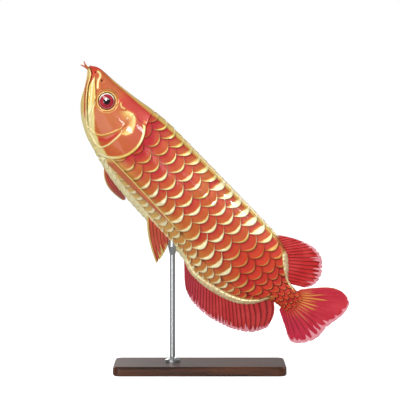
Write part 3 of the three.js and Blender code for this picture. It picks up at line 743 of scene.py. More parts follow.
@dataclass(frozen=True)
class EyeFinish:
    """The wet eye: pupil, streaked iris, dark limbus and gilded white, its upper side a painted
    highlight.
    """

    name: str
    pupil: float = 0.0052
    iris: float = 0.0112
    limbus: float = 0.0138
    upward: tuple[float, float, float] = (-0.72, 0.0, 0.69)
    black: str = "#020202"
    pupil_ring: str = "#3b0710"
    iris_dark: str = "#8c0d20"
    iris_light: str = "#cf2f45"
    iris_edge: str = "#1c0508"
    white_low: str = "#c9605c"
    painted_highlight_white: str = "#f6eedd"
    limbus_dark: str = "#160406"

    def build(self) -> bpy.types.Material:
        """Makes the material.

        Returns:
            The material.
        """
        kit = NodeKit(bpy.data.materials.new(self.name))
        out, local = kit.mask("out"), kit.vector("local")
        streak = kit.noise(kit.stretched(local, (7.0, 1.0, 7.0)), 2, 3)
        dot, turned = {"operation": "DOT_PRODUCT"}, {0: local, 1: self.upward}
        # Painted highlight: the white round the iris is pale on its upper side and pinkish below.
        above = kit.read("ShaderNodeVectorMath", "Value", dot, turned).ramp(-0.05, 0.6)
        white = kit.mix(above, self.white_low, self.painted_highlight_white)
        colour = kit.layers(kit.mix(streak.ramp(0.35, 0.7), self.iris_dark, self.iris_light), [
            (out.peak(self.pupil + 0.0006, 0.0011) * 0.9, self.pupil_ring),
            (1 - out.ramp(self.pupil - 0.0002, self.pupil + 0.0003), self.black),
            (out.ramp(self.iris - 0.0004, self.iris + 0.0003), white),
            (out.peak(self.iris, 0.0006), self.iris_edge),
            (out.ramp(self.limbus - 0.0008, self.limbus - 0.0002), self.limbus_dark),
        ])
        return kit.finish({
            "Base Color": colour,
            "Roughness": 0.5,
            "Coat Weight": 1.0,
            "Coat Roughness": 0.02,
            "Specular IOR Level": 0.0,
        })


@dataclass(frozen=True)
class WoodFinish:
    """Dark oiled wood, its grain along the base."""

    name: str
    dark: str = "#2a140b"
    light: str = "#5d3219"
    pore: str = "#180a05"
    relief: float = 0.00015

    def build(self) -> bpy.types.Material:
        """Makes the material.

        Returns:
            The material.
        """
        kit = NodeKit(bpy.data.materials.new(self.name))
        place = kit.place()
        bands = kit.noise(kit.stretched(place, (1.2, 16.0, 16.0)), 5, 5, 0.6)
        pores = kit.noise(kit.stretched(place, (12.0, 260.0, 260.0)), 3, 2)
        grain = kit.mix(bands.ramp(0.32, 0.68), self.dark, self.light)
        return kit.finish({
            "Base Color": kit.mix(pores.ramp(0.56, 0.72) * 0.6, grain, self.pore),
            "Roughness": bands * 0.15 + 0.3,
            "Coat Weight": 0.12,
            "Coat Roughness": 0.25,
            "Specular IOR Level": 0.3,
            "Normal": kit.bump(pores + bands * 0.4, self.relief),
        })


@dataclass(frozen=True)
class SteelFinish:
    """Brushed steel."""

    name: str
    dark: str = "#8f9294"
    light: str = "#c9cbcc"
    relief: float = 0.00002

    def build(self) -> bpy.types.Material:
        """Makes the material.

        Returns:
            The material.
        """
        kit = NodeKit(bpy.data.materials.new(self.name))
        brush = kit.noise(kit.stretched(kit.place(), (40.0, 40.0, 900.0)), 6, 2)
        return kit.finish({
            "Base Color": kit.mix(brush, self.dark, self.light),
            "Metallic": 1.0,
            "Roughness": brush * 0.18 + 0.2,
            "Normal": kit.bump(brush, self.relief),
        })


# Meshes
@dataclass
class Sheet:
    """Points, faces and stored values on their way to becoming one mesh."""

    points: Array
    faces: Array
    values: dict[str, Array] = field(default_factory=dict)
    uv: Array | None = None

    def volume(self) -> float:
        """Adds up the volume that the faces close in.

        Returns:
            The volume, below 0 where the faces are wound inward.
        """
        corners = np.array([list(face[:3]) + [face[-1]] for face in self.faces])
        a, b, c, d = (self.points[corners[:, k]] for k in range(4))
        first = np.einsum("ij,ij->i", a, np.cross(b, c))
        second = np.einsum("ij,ij->i", a, np.cross(c, d))
        return float(first.sum() + second.sum()) / 6

    def build(self, name: str, material: bpy.types.Material, slot: str) -> bpy.types.Object:
        """Makes the object and lets it ride on the body.

        Args:
            name: The piece's name.
            material: Its finish.
            slot: The record's material slot; not used.

        Returns:
            The new object.
        """
        mesh = bpy.data.meshes.new(name)
        mesh.from_pydata(self.points.tolist(), [], self.faces.tolist())
        for key, value in self.values.items():
            kind, label = ("FLOAT_VECTOR", "vector") if value.ndim == 2 else ("FLOAT", "value")
            layer = mesh.attributes.new(key, kind, "POINT")
            layer.data.foreach_set(label, np.ascontiguousarray(value, np.float32).ravel())
        if self.uv is not None:
            layer = mesh.uv_layers.new(name="OFBake")
            layer.data.foreach_set("uv", self.uv.astype(np.float32).ravel())
        if self.volume() < 0:
            mesh.flip_normals()
        mesh.shade_smooth()
        mesh.materials.append(material)
        piece = bpy.data.objects.new(name, mesh)
        bpy.context.scene.collection.objects.link(piece)
        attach(piece, ROOT)
        log.info("%s: %d faces", name, len(self.faces))
        return piece


def grid_faces(rows: int, columns: int, closed: bool = False) -> Array:
    """Lists the four-cornered faces of a grid of points.

    Args:
        rows: How many rows of points it has.
        columns: How many points a row has.
        closed: Whether each row is joined round to its own start.

    Returns:
        The four corners of each face.
    """
    i, j = np.meshgrid(np.arange(rows - 1), np.arange(columns - (not closed)), indexing="ij")
    after = (j + 1) % columns
    corners = [i * columns + j, (i + 1) * columns + j, (i + 1) * columns + after, i * columns + after]
    return np.stack(corners, axis=-1).reshape(-1, 4)


def tube_faces(rows: int, columns: int) -> Array:
    """Lists the faces of a tube that two fans of triangles close, each about a pole.

    Args:
        rows: How many rings of points it has.
        columns: How many points a ring has.

    Returns:
        The faces; the two poles are the points after those of the rings.
    """
    start = np.arange(columns)
    after = (start + 1) % columns
    last, pole = (rows - 1) * columns, rows * columns
    front = np.stack([start, after, np.full(columns, pole)], axis=1)
    back = np.stack([last + after, last + start, np.full(columns, pole + 1)], axis=1)
    sides = grid_faces(rows, columns, closed=True)
    return np.array([*sides.tolist(), *front.tolist(), *back.tolist()], dtype=object)


def plate_faces(rows: int, columns: int) -> Array:
    """Lists the faces of a closed plate: a top grid, a like bottom grid and the strip round them.

    Args:
        rows: How many rows of points each grid has.
        columns: How many points a row has.

    Returns:
        The four corners of each face.
    """
    count = rows * columns
    top = grid_faces(rows, columns)
    bottom = top[:, ::-1] + count
    index = np.arange(count).reshape(rows, columns)
    loop = np.concatenate([index[:, 0], index[-1, 1:], index[-2::-1, -1], index[0, -2:0:-1]])
    after = np.roll(loop, -1)
    rim = np.stack([after, loop, loop + count, after + count], axis=1)
    return np.vstack([top, bottom, rim])


@dataclass
class HeadForms:
    """The head's plates, ridges and openings, as relief and markings over the skin."""

    gill_x: float = 0.1016
    gill_z: float = -0.042
    gill_radius: float = 0.0533
    eye_x: float = 0.0612
    eye_z: float = -0.020
    eye_radius: float = 0.0165
    eye_depth: float = 0.008
    eye_proud: float = 0.005
    eye_share: float = 0.33
    lid: float = 0.0141
    lid_outer: float = 0.0195
    gill_lift: float = 0.0015
    cheek_lift: float = 0.0008
    maxilla_lift: float = 0.0017
    jaw_lift: float = 0.0007
    plate_edge: float = 0.0012
    cheek_edge: float = 0.006
    groove: float = 0.0006
    gill_groove: float = 0.0005
    trunk_sink: float = 0.0010
    gill_slit: float = 0.0014
    mouth_depth: float = 0.0024
    lip_lift: float = 0.0007
    cheek_ridge_lift: float = 0.0008
    gill_ridge_lift: float = 0.0010
    nostril_depth: float = 0.0024
    nostril_rim: float = 0.0005
    fold_lift: float = 0.0025
    crease: float = 0.0003
    crease_pitch: float = 0.0062
    throat_groove: float = 0.0009
    throat_fold: float = 0.0005
    throat_pitch: float = 0.0032
    nostrils: tuple[tuple[float, float, float], ...] = (
        (0.0128, -0.0002, 0.0012), (0.0305, -0.0022, 0.0018),
    )

    def __post_init__(self) -> None:
        """Works out the outlines."""
        turns = np.radians(np.linspace(-72, 48, 49))
        arc_x = self.gill_x + self.gill_radius * np.cos(turns)
        arc_z = self.gill_z + self.gill_radius * np.sin(turns)
        arc = np.stack([arc_x, arc_z], axis=1)
        front = Curve(GILL_FRONT, 8).samples()
        mouth = Curve(MOUTH_LINE, 10).samples()
        maxilla = Curve(MAXILLA_TOP, 10).samples()
        nape = Curve(NAPE_LINE, 8).samples()
        self.gill_front = front
        self.mouth = mouth
        self.gill = np.vstack([arc, front])
        self.head = np.vstack([arc, nape, [[-0.03, 0.06], [-0.03, -0.15], [0.112, -0.15]]])
        below = [[0.088, -0.086], [0.084, -0.15], [-0.03, -0.15], [-0.03, -0.001]]
        self.jaw = np.vstack([mouth, below])
        self.maxilla = np.vstack([maxilla, [[0.08, -0.079]], mouth[20:][::-1]])
        chin, temple = [[0.09, -0.088], [0.08, -0.079]], [[0.055, -0.024], [0.074, -0.006]]
        self.cheek = np.vstack([front, chin, maxilla[35:][::-1], temple])
        self.red_patch = Curve(RED_PATCH, 6).samples()
        self.painted_sheen_line = Curve(PAINTED_SHEEN_LINE, 6).samples()
        self.snout_highlight = Curve(SNOUT_HIGHLIGHT_LINE, 6).samples()
        self.lip_highlight = Curve(LIP_HIGHLIGHT_CORE, 6).samples()
        self.collar = Curve(COLLAR_MARKS, 6).samples()
        self.cheek_ridge = Curve(CHEEK_RIDGE, 8).samples()
        self.gill_ridge = Curve(GILL_RIDGE, 8).samples()
        eye_x = np.array(self.eye_x)
        socket = BODY.section(eye_x, BODY.angle(eye_x, np.array(self.eye_share)))[0]
        self.eye_middle = float(socket) + self.eye_proud - self.eye_depth

    def behind(self, x: Array, z: Array) -> Array:
        """How far behind the head's rear edge a place is, negative on the head."""
        return -depth_inside(self.head, x, z)

    def plates(self, x: Array, z: Array) -> dict[str, Array]:
        """How deep a place lies inside the outline of each plate."""
        outlines = {"gill": self.gill, "cheek": self.cheek, "maxilla": self.maxilla, "jaw": self.jaw}
        return {name: depth_inside(outline, x, z) for name, outline in outlines.items()}

    def eye_surface(self, out: Array) -> Array:
        """How far the eyeball stands from the fish's middle, at a distance from its own axis."""
        share = np.clip(out / self.eye_radius, 0, 1)
        return self.eye_middle + self.eye_depth * np.sqrt(1 - share * share)

    def plate_relief(self, x: Array, z: Array, depth: dict[str, Array]) -> Array:
        """The raised plates, the grooves between them and the step down to the trunk.

        Args:
            x: The places' x.
            z: The places' z.
            depth: How deep they lie inside each plate.

        Returns:
            The lift for each place.
        """
        behind, soft = self.behind(x, z), -0.0002
        lift = self.gill_lift * smooth(depth["gill"], soft, self.plate_edge)
        lift += self.cheek_lift * smooth(depth["cheek"], soft, self.cheek_edge)
        lift += self.maxilla_lift * smooth(depth["maxilla"], soft, self.plate_edge + 0.0005)
        lift += self.jaw_lift * smooth(depth["jaw"], soft, self.plate_edge)
        lift -= self.groove * bell(depth["maxilla"], 0.0006)
        gill_front = bell(distance_to(self.gill_front, x, z), 0.0006)
        lift -= self.gill_groove * gill_front * smooth(-z, 0.03, 0.05)
        lift -= self.trunk_sink * smooth(behind, 0, 0.001)
        lift -= self.gill_slit * bell(behind - 0.0009, 0.0008) * smooth(-z, -0.012, 0.004)
        return lift

    def line_relief(self, x: Array, z: Array) -> Array:
        """The mouth with its lips, the ridges of cheek and gill cover, and the nostrils.

        Args:
            x: The places' x.
            z: The places' z.

        Returns:
            The lift for each place.
        """
        lips = distance_to(self.mouth, x, z)
        lift = self.lip_lift * bell(lips - 0.0026, 0.0013) - self.mouth_depth * bell(lips, 0.0008)
        lift = lift * (1 - smooth(x, 0.07, 0.082))
        low = smooth(-z, 0.030, 0.046)
        lift += self.cheek_ridge_lift * bell(distance_to(self.cheek_ridge, x, z), 0.0013) * low
        lift += self.gill_ridge_lift * bell(distance_to(self.gill_ridge, x, z), 0.0014) * low
        for nx, nz, radius in self.nostrils:
            away = np.hypot(x - nx, z - nz)
            lift -= self.nostril_depth * (1 - smooth(away, radius * 0.6, radius * 1.15))
            lift += self.nostril_rim * bell(away - radius * 1.6, 0.0007)
        return lift

    def sheath_relief(self, x: Array, z: Array) -> Array:
        """The creased fleshy sheaths that the dorsal and anal fins rise from.

        Args:
            x: The places' x.
            z: The places' z.

        Returns:
            The lift for each place.
        """
        from_back, from_belly = BODY.back(x) - z, z - BODY.belly(x)
        top = back_band(x)
        back = between(x, (0.442, 0.462), (0.5, 0.512)) * (1 - 0.7 * smooth(x, 0.474, 0.498))
        upper = back * (1 - smooth(from_back, top - 0.0015, top + 0.0012))
        keel = keel_band(x) - 0.0035
        belly = between(x, (0.336, 0.355), (0.47, 0.502))
        lower = belly * (1 - smooth(from_belly, keel - 0.0015, keel + 0.0012))
        slanted = x + 0.6 * np.where(upper > lower, from_back, from_belly)
        creases = np.sin(2 * math.pi * slanted / self.crease_pitch)
        return np.maximum(upper, lower) * (self.fold_lift + self.crease * creases)

    def throat_relief(self, x: Array, z: Array, ring: Array, depth: dict[str, Array]) -> Array:
        """The groove between the jaws and the folds of skin under the gill covers.

        Args:
            x: The places' x.
            z: The places' z.
            ring: The places round the fish.
            depth: How deep they lie inside each plate.

        Returns:
            The lift for each place.
        """
        middle = bell(1 - np.abs(ring), 0.02) * between(x, (0.012, 0.03), (0.105, 0.118))
        away = np.maximum(-np.maximum.reduce([depth["gill"], depth["cheek"], depth["jaw"]]), 0)
        under = (z < -0.07) * (1 - smooth(self.behind(x, z), -0.002, 0)) * smooth(away, 0.0005, 0.002)
        folds = np.sin(away / self.throat_pitch * 2 * math.pi) * under
        return self.throat_fold * folds - self.throat_groove * middle

    def relief(self, x: Array, z: Array, ring: Array) -> Array:
        """How far the skin stands off the plain surface.

        Args:
            x: The places' x.
            z: The places' z.
            ring: The places round the fish.

        Returns:
            The lift for each place.
        """
        depth = self.plates(x, z)
        head = self.plate_relief(x, z, depth) + self.line_relief(x, z)
        return head + self.sheath_relief(x, z) + self.throat_relief(x, z, ring, depth)

    def gilding(self, x: Array, z: Array, depth: dict[str, Array], eye: Array) -> tuple[Array, Array]:
        """Lays out the head's gold.

        Args:
            x: The places' x.
            z: The places' z.
            depth: How deep they lie inside each plate.
            eye: How far they lie from the middle of the eye.

        Returns:
            Where the gold is, and how pale it is there.
        """
        rim = self.gill_radius - np.hypot(x - self.gill_x, z - self.gill_z)
        rear = smooth(x, self.gill_x, self.gill_x + 0.012) * smooth(depth["gill"], -0.0005, 0.0002)
        # The gill rim is cream toward the bottom, its own colour; its whiter upper rear is a painted
        # highlight.
        rim_cream_and_highlight = np.maximum(smooth(-z, 0.06, 0.09), bell(z + 0.019, 0.017))
        # The ridge lines are gold; the gill ridge's extra pale is a painted highlight along the raised
        # ridge.
        gill_line = bell(distance_to(self.gill_ridge, x, z), 0.0018)
        lines = np.maximum(bell(distance_to(self.cheek_ridge, x, z), 0.0013) * 0.9, gill_line)
        orbit = np.maximum(bell(eye - 0.0158, 0.0011) * 0.9, bell(eye - self.lid_outer, 0.0007) * 0.7)
        lip = smooth(depth["maxilla"], 0.0, 0.0012) * smooth(x, 0.012, 0.02)
        lip_highlight = bell(distance_to(self.lip_highlight, x, z), 0.0016)
        # A painted highlight: the pale sheen on the upper gill cover.
        painted_sheen_away = distance_to(self.painted_sheen_line, x, z)
        outside = np.hypot(x - 0.1060, z + 0.0260) > 0.0203
        painted_sheen = np.where(outside, bell(painted_sheen_away, 0.0025), 0.85 * bell(painted_sheen_away, 0.0100))
        crown_width = 0.0022 + 0.0045 * smooth(x, 0.05, 0.14)
        crown = 1 - smooth(BODY.back(x) - z, crown_width * 0.7, crown_width * 1.3)
        throat = smooth(Profile(CREAM_LINE)(x) - z, -0.0015, 0.003) * smooth(x, 0.036, 0.05)
        # each mark with its share of gold and its share of cream
        marks = (
            ((1 - smooth(rim, 0.0036, 0.0060)) * rear, 1, 0.45 + 0.5 * rim_cream_and_highlight),
            (lines * smooth(-z, 0.028, 0.045), 1, 0.6 + 0.4 * gill_line),
            (orbit, 1, 0.6),
            (smooth(depth["jaw"], 0.0, 0.001), 0.95, 0.6),
            # The maxilla is straw gold; its whiter middle is a painted highlight.
            (lip, 0.95, 0.45 + 0.55 * lip_highlight),
            (throat, 1, 0.75),
            (np.maximum(painted_sheen, bell(distance_to(np.array(PAINTED_SHEEN_ARC), x, z), 0.0012)), 0.95, 0.8),
            # Painted highlights along the snout and at the front of the lips.
            (bell(distance_to(self.snout_highlight, x, z), 0.0021), 1, 1),
            (bell(distance_to(np.array(LIP_HIGHLIGHT_LINE), x, z), 0.0011), 1, 1),
            (crown * smooth(x, 0.025, 0.05), 0.85, 0.4),
            (bell(distance_to(self.collar, x, z), 0.0016), 0.6, 0),
        )
        gold = np.maximum.reduce([mark * share for mark, share, _ in marks])
        return gold, np.maximum.reduce([mark * share for mark, _, share in marks])

    def darks(self, x: Array, z: Array, maxilla: Array, eye: Array) -> Array:
        """Painted shade in the mouth, the nostril pits, the groove by the upper lip, the crease at the
        gill's upper corner and round the eye's rim.

        Args:
            x: The places' x.
            z: The places' z.
            maxilla: How deep they lie inside the maxilla.
            eye: How far they lie from the middle of the eye.

        Returns:
            The mask.
        """
        mouth = bell(distance_to(self.mouth, x, z), 0.0008) * (1 - smooth(x, 0.07, 0.082))
        pits = np.zeros_like(x)
        for nx, nz, radius in self.nostrils:
            pits = np.maximum(pits, 1 - smooth(np.hypot(x - nx, z - nz), radius * 0.6, radius * 1.1))
        upper_lip = bell(maxilla, 0.0009) * between(x, (0.016, 0.024), (0.046, 0.052))
        corner = bell(np.hypot(x - 0.1385, z - 0.0022), 0.0022)
        lid = bell(eye - 0.0143, 0.0007)
        return np.clip(mouth * 0.8 + pits + corner * 0.8 + upper_lip * 0.5 + lid * 0.7, 0, 1)

    def masks(self, x: Array, z: Array) -> dict[str, Array]:
        """The head's markings.

        Args:
            x: The places' x.
            z: The places' z.

        Returns:
            The masks by name.
        """
        depth = self.plates(x, z)
        eye = np.hypot(x - self.eye_x, z - self.eye_z)
        on_head = 1 - smooth(self.behind(x, z), -0.0005, 0.0005)
        gold, pale = self.gilding(x, z, depth, eye)
        jaw_line = smooth(depth["jaw"], 0.0, 0.001) * bell(depth["jaw"] - 0.0045, 0.0016)
        stripe = jaw_line * between(x, (0.008, 0.018), (0.05, 0.06))
        nape = smooth(x, 0.066, 0.092) * smooth(z, -0.012 - 0.05 * smooth(x, 0.1, 0.12), 0.003)
        snout = 1 - smooth(x, 0.012, 0.022)
        patch = bell(distance_to(self.red_patch, x, z), 0.0034)
        front = 1 - smooth(x, 0.06, 0.085)
        face = smooth(depth["cheek"], -0.001, 0.003) * 0.95 + smooth(depth["gill"], 0, 0.003) * 0.75
        ruby = stripe * 0.9 + nape * 0.5 + patch * 0.5 + snout * 0.2
        tan = np.maximum(face, front * (1 - snout) * 0.85) - patch
        return {
            "gold": gold * on_head * (1 - stripe),
            "cream": pale * on_head,
            "ruby": np.clip(ruby, 0, 1) * on_head,
            "tan": np.clip(tan, 0, 1) * on_head,
            "fold": np.zeros_like(x),
            "scarlet": np.zeros_like(x),
            "dusk": self.darks(x, z, depth["maxilla"], eye) * on_head,
        }


HEAD = HeadForms()

# Masks of skin and scales, each from 0 to 1: gold and how much cream is in it, ruby, tan and
# scarlet over the coral flesh, the scarlet partly painted light toward the tail, fold for the
# creased sheaths, and painted shade for what lies in shadow.


def back_band(x: Array) -> Array:
    """The width of the gold band down the back."""
    return 0.0068 + 0.0046 * bell(x - 0.466, 0.014) - 0.0034 * smooth(x, 0.476, 0.496)


def keel_band(x: Array) -> Array:
    """The width of the cream band along the belly."""
    return 0.013 - 0.004 * smooth(x, 0.24, 0.3) + 0.0035 * smooth(x, 0.36, 0.42)


def trunk_masks(x: Array, z: Array) -> dict[str, Array]:
    """The trunk's zones, for the skin and the scales alike, apart from the scales' own rims.

    Args:
        x: The places' x.
        z: The places' z.

    Returns:
        The masks by name.
    """
    from_back, from_belly = BODY.back(x) - z, z - BODY.belly(x)
    top, bottom = back_band(x), keel_band(x)
    gap = between(x, (0.418, 0.430), (0.444, 0.458))
    band = between(x, (0.10, 0.13), (0.505, 0.514)) * (1 - 0.8 * gap)
    band = band * (1 - smooth(from_back, top - 0.0012, top + 0.0012))
    keel = (1 - smooth(from_belly, bottom - 0.004, bottom + 0.002)) * (1 - smooth(x, 0.485, 0.5))
    front = 1 - smooth(x, 0.17, 0.3)
    rear = smooth(x - 0.03 * smooth(-z, 0.045, 0.075), 0.365, 0.44)
    low = smooth(-z, 0.03, 0.1)
    collar = 1 - smooth(HEAD.behind(x, z), 0.006, 0.026)
    wash = (1 - smooth(from_belly, 0.018, 0.046)) * (1 - rear) * (0.66 - 0.36 * smooth(x, 0.27, 0.34))
    high = 1 - smooth(from_back, 0.014, 0.03)
    band_pale = 0.32 + 0.63 * smooth(x, 0.41, 0.44)
    return {
        "gold": np.maximum.reduce([band, keel, wash]),
        "cream": np.maximum.reduce([band * band_pale, keel * 0.95, wash * 0.9]),
        "fold": np.maximum(band * smooth(x, 0.442, 0.462), keel * smooth(x, 0.336, 0.355)),
        # Scarlet toward the tail: partly the fish's own red, partly painted light that brightens the
        # less lit rear.
        "scarlet": rear * 0.8,
        "ruby": np.clip(front * (1 - low) * 0.28 + rear * 0.12 + collar * (0.8 - low * 0.5), 0, 1),
        "tan": (low * 0.8 + 0.15 + 0.4 * high) * (1 - rear),
        "dusk": np.zeros_like(x),
    }


@dataclass
class Skin:
    """One unbroken skin from the lips to the root of the tail fin."""

    head_rings: int = 250
    trunk_rings: int = 250
    around: int = 340
    head_end: float = 0.165
    end: float = 0.536
    nose: float = 0.0022
    nose_rings: int = 8
    head_share: float = 0.5
    lid_proud: float = 0.0009
    lid_start: float = 0.0155
    lid_blend: float = 0.002
    under_eye: float = 0.0012
    map_front: float = 0.01
    map_back: float = 0.004

    def lines(self) -> Array:
        """Where the rings stand along the fish, closer together on the snout.

        Returns:
            Their places.
        """
        head = np.linspace(0, 1, self.head_rings) ** 1.15 * self.head_end
        trunk = np.linspace(self.head_end, self.end, self.trunk_rings + 1)[1:]
        return np.concatenate([head, trunk])

    def shape(self, x: Array, ring: Array) -> Array:
        """Shapes the skin, with its lids drawn over the eyeballs.

        Args:
            x: The distance from the snout.
            ring: The place round the fish.

        Returns:
            The points in the fish's frame.
        """
        z = BODY.point(x, ring)[..., 2]
        points = BODY.place(x, ring, HEAD.relief(x, z, ring))
        out = np.hypot(points[..., 0] - HEAD.eye_x, points[..., 2] - HEAD.eye_z)
        side, reach = np.sign(points[..., 1]), HEAD.lid_outer + self.lid_blend
        lid_top = HEAD.eye_surface(np.array(HEAD.lid)) + self.lid_proud
        rolled = mixed(lid_top, np.abs(points[..., 1]), smooth(out, self.lid_start, reach))
        inner = smooth(out, HEAD.lid - self.lid_proud, HEAD.lid + self.lid_proud)
        rolled = mixed(HEAD.eye_surface(out) - self.under_eye, rolled, inner)
        near = (out < reach) & (ring * side > 0)
        points[..., 1] = np.where(near, side * rolled, points[..., 1])
        return points

    def build(self, material: bpy.types.Material) -> bpy.types.Object:
        """Makes the skin.

        Args:
            material: Its finish.

        Returns:
            The skin.
        """
        ring = (np.arange(self.around) / self.around * 2 - 1)[None, :]
        points = self.shape(*np.broadcast_arrays(self.lines()[:, None], ring))
        first, last = points[0], points[-1]
        caps = []
        for share in np.linspace(1, 0, self.nose_rings, endpoint=False)[:0:-1]:
            cap = mixed(first.mean(0), first, math.sin(share * math.pi / 2))
            cap[:, 0] -= self.nose * math.cos(share * math.pi / 2)
            caps.append(cap)
        points = np.concatenate([np.array(caps), points, mixed(last.mean(0), last, 0.05)[None]])
        poles = np.array([points[0].mean(0), points[-1].mean(0)])
        flat = np.vstack([points.reshape(-1, 3), poles])
        front, back = np.linspace(-self.map_front, 0, len(caps)), [self.end + self.map_back]
        uv = self.unwrap(np.concatenate([front, self.lines(), back]))
        faces, masks = tube_faces(len(points), self.around), self.markings(flat[:, 0], flat[:, 2])
        return Sheet(BODY.to_world(flat), faces, masks, uv).build("skin", material, "head_skin")

    def markings(self, x: Array, z: Array) -> dict[str, Array]:
        """Head and trunk markings, parted at the head's rear edge.

        Args:
            x: The places' x.
            z: The places' z.

        Returns:
            The masks by name.
        """
        behind = HEAD.behind(x, z)
        part = smooth(behind, -0.0005, 0.0005)
        head, trunk = HEAD.masks(x, z), trunk_masks(x, z)
        masks = {key: head[key] * (1 - part) + trunk[key] * part for key in head}
        slit = part * (1 - smooth(behind, 0.001, 0.012))
        masks["ruby"] = np.clip(masks["ruby"] + slit * 0.8, 0, 1)
        # A painted shadow line in the gill slit, just behind the head's rear edge.
        masks["dusk"] = np.clip(masks["dusk"] + bell(behind - 0.0008, 0.0007) * 0.6, 0, 1)
        return masks

    def unwrap(self, along: Array) -> Array:
        """A flat map of the skin, the head given about half of its length.

        Args:
            along: Where each ring lies along the fish.

        Returns:
            A place on the map for each corner of each face.
        """
        ends = [-self.map_front, self.head_end, self.end + self.map_back]
        reach = np.interp(along, ends, [0, self.head_share, 1])
        i, j = np.meshgrid(np.arange(len(along) - 1), np.arange(self.around), indexing="ij")
        corners = [(i, j), (i + 1, j), (i + 1, j + 1), (i, j + 1)]
        sides = np.stack([np.stack([reach[a], b / self.around], axis=-1) for a, b in corners], axis=2)
        shares = np.arange(self.around)[:, None] / self.around + np.array([[0, 1, 0.5]]) / self.around
        fans = [
            np.stack([np.broadcast_to(lengthways, shares.shape), across], axis=-1).reshape(-1, 2)
            for lengthways, across in (
                ((0.001, 0.001, 0), shares), ((0.999, 0.999, 1), shares[:, [1, 0, 2]]),
            )
        ]
        return np.vstack([sides.reshape(-1, 2), *fans])


@dataclass(frozen=True)
class ScaleRow:
    """One row of scales along the body.

    Its centre and height are shares of the half girth; first, last and shift are counts of pitches.
    """

    name: str
    centre: float
    height: float
    shift: float
    finer: float = 1
    first: float = 0
    last: float = 25
    reach: float = 0.71
    rim: float = 0.2
    sunk: float = 0.0
    raised: float = 1.0


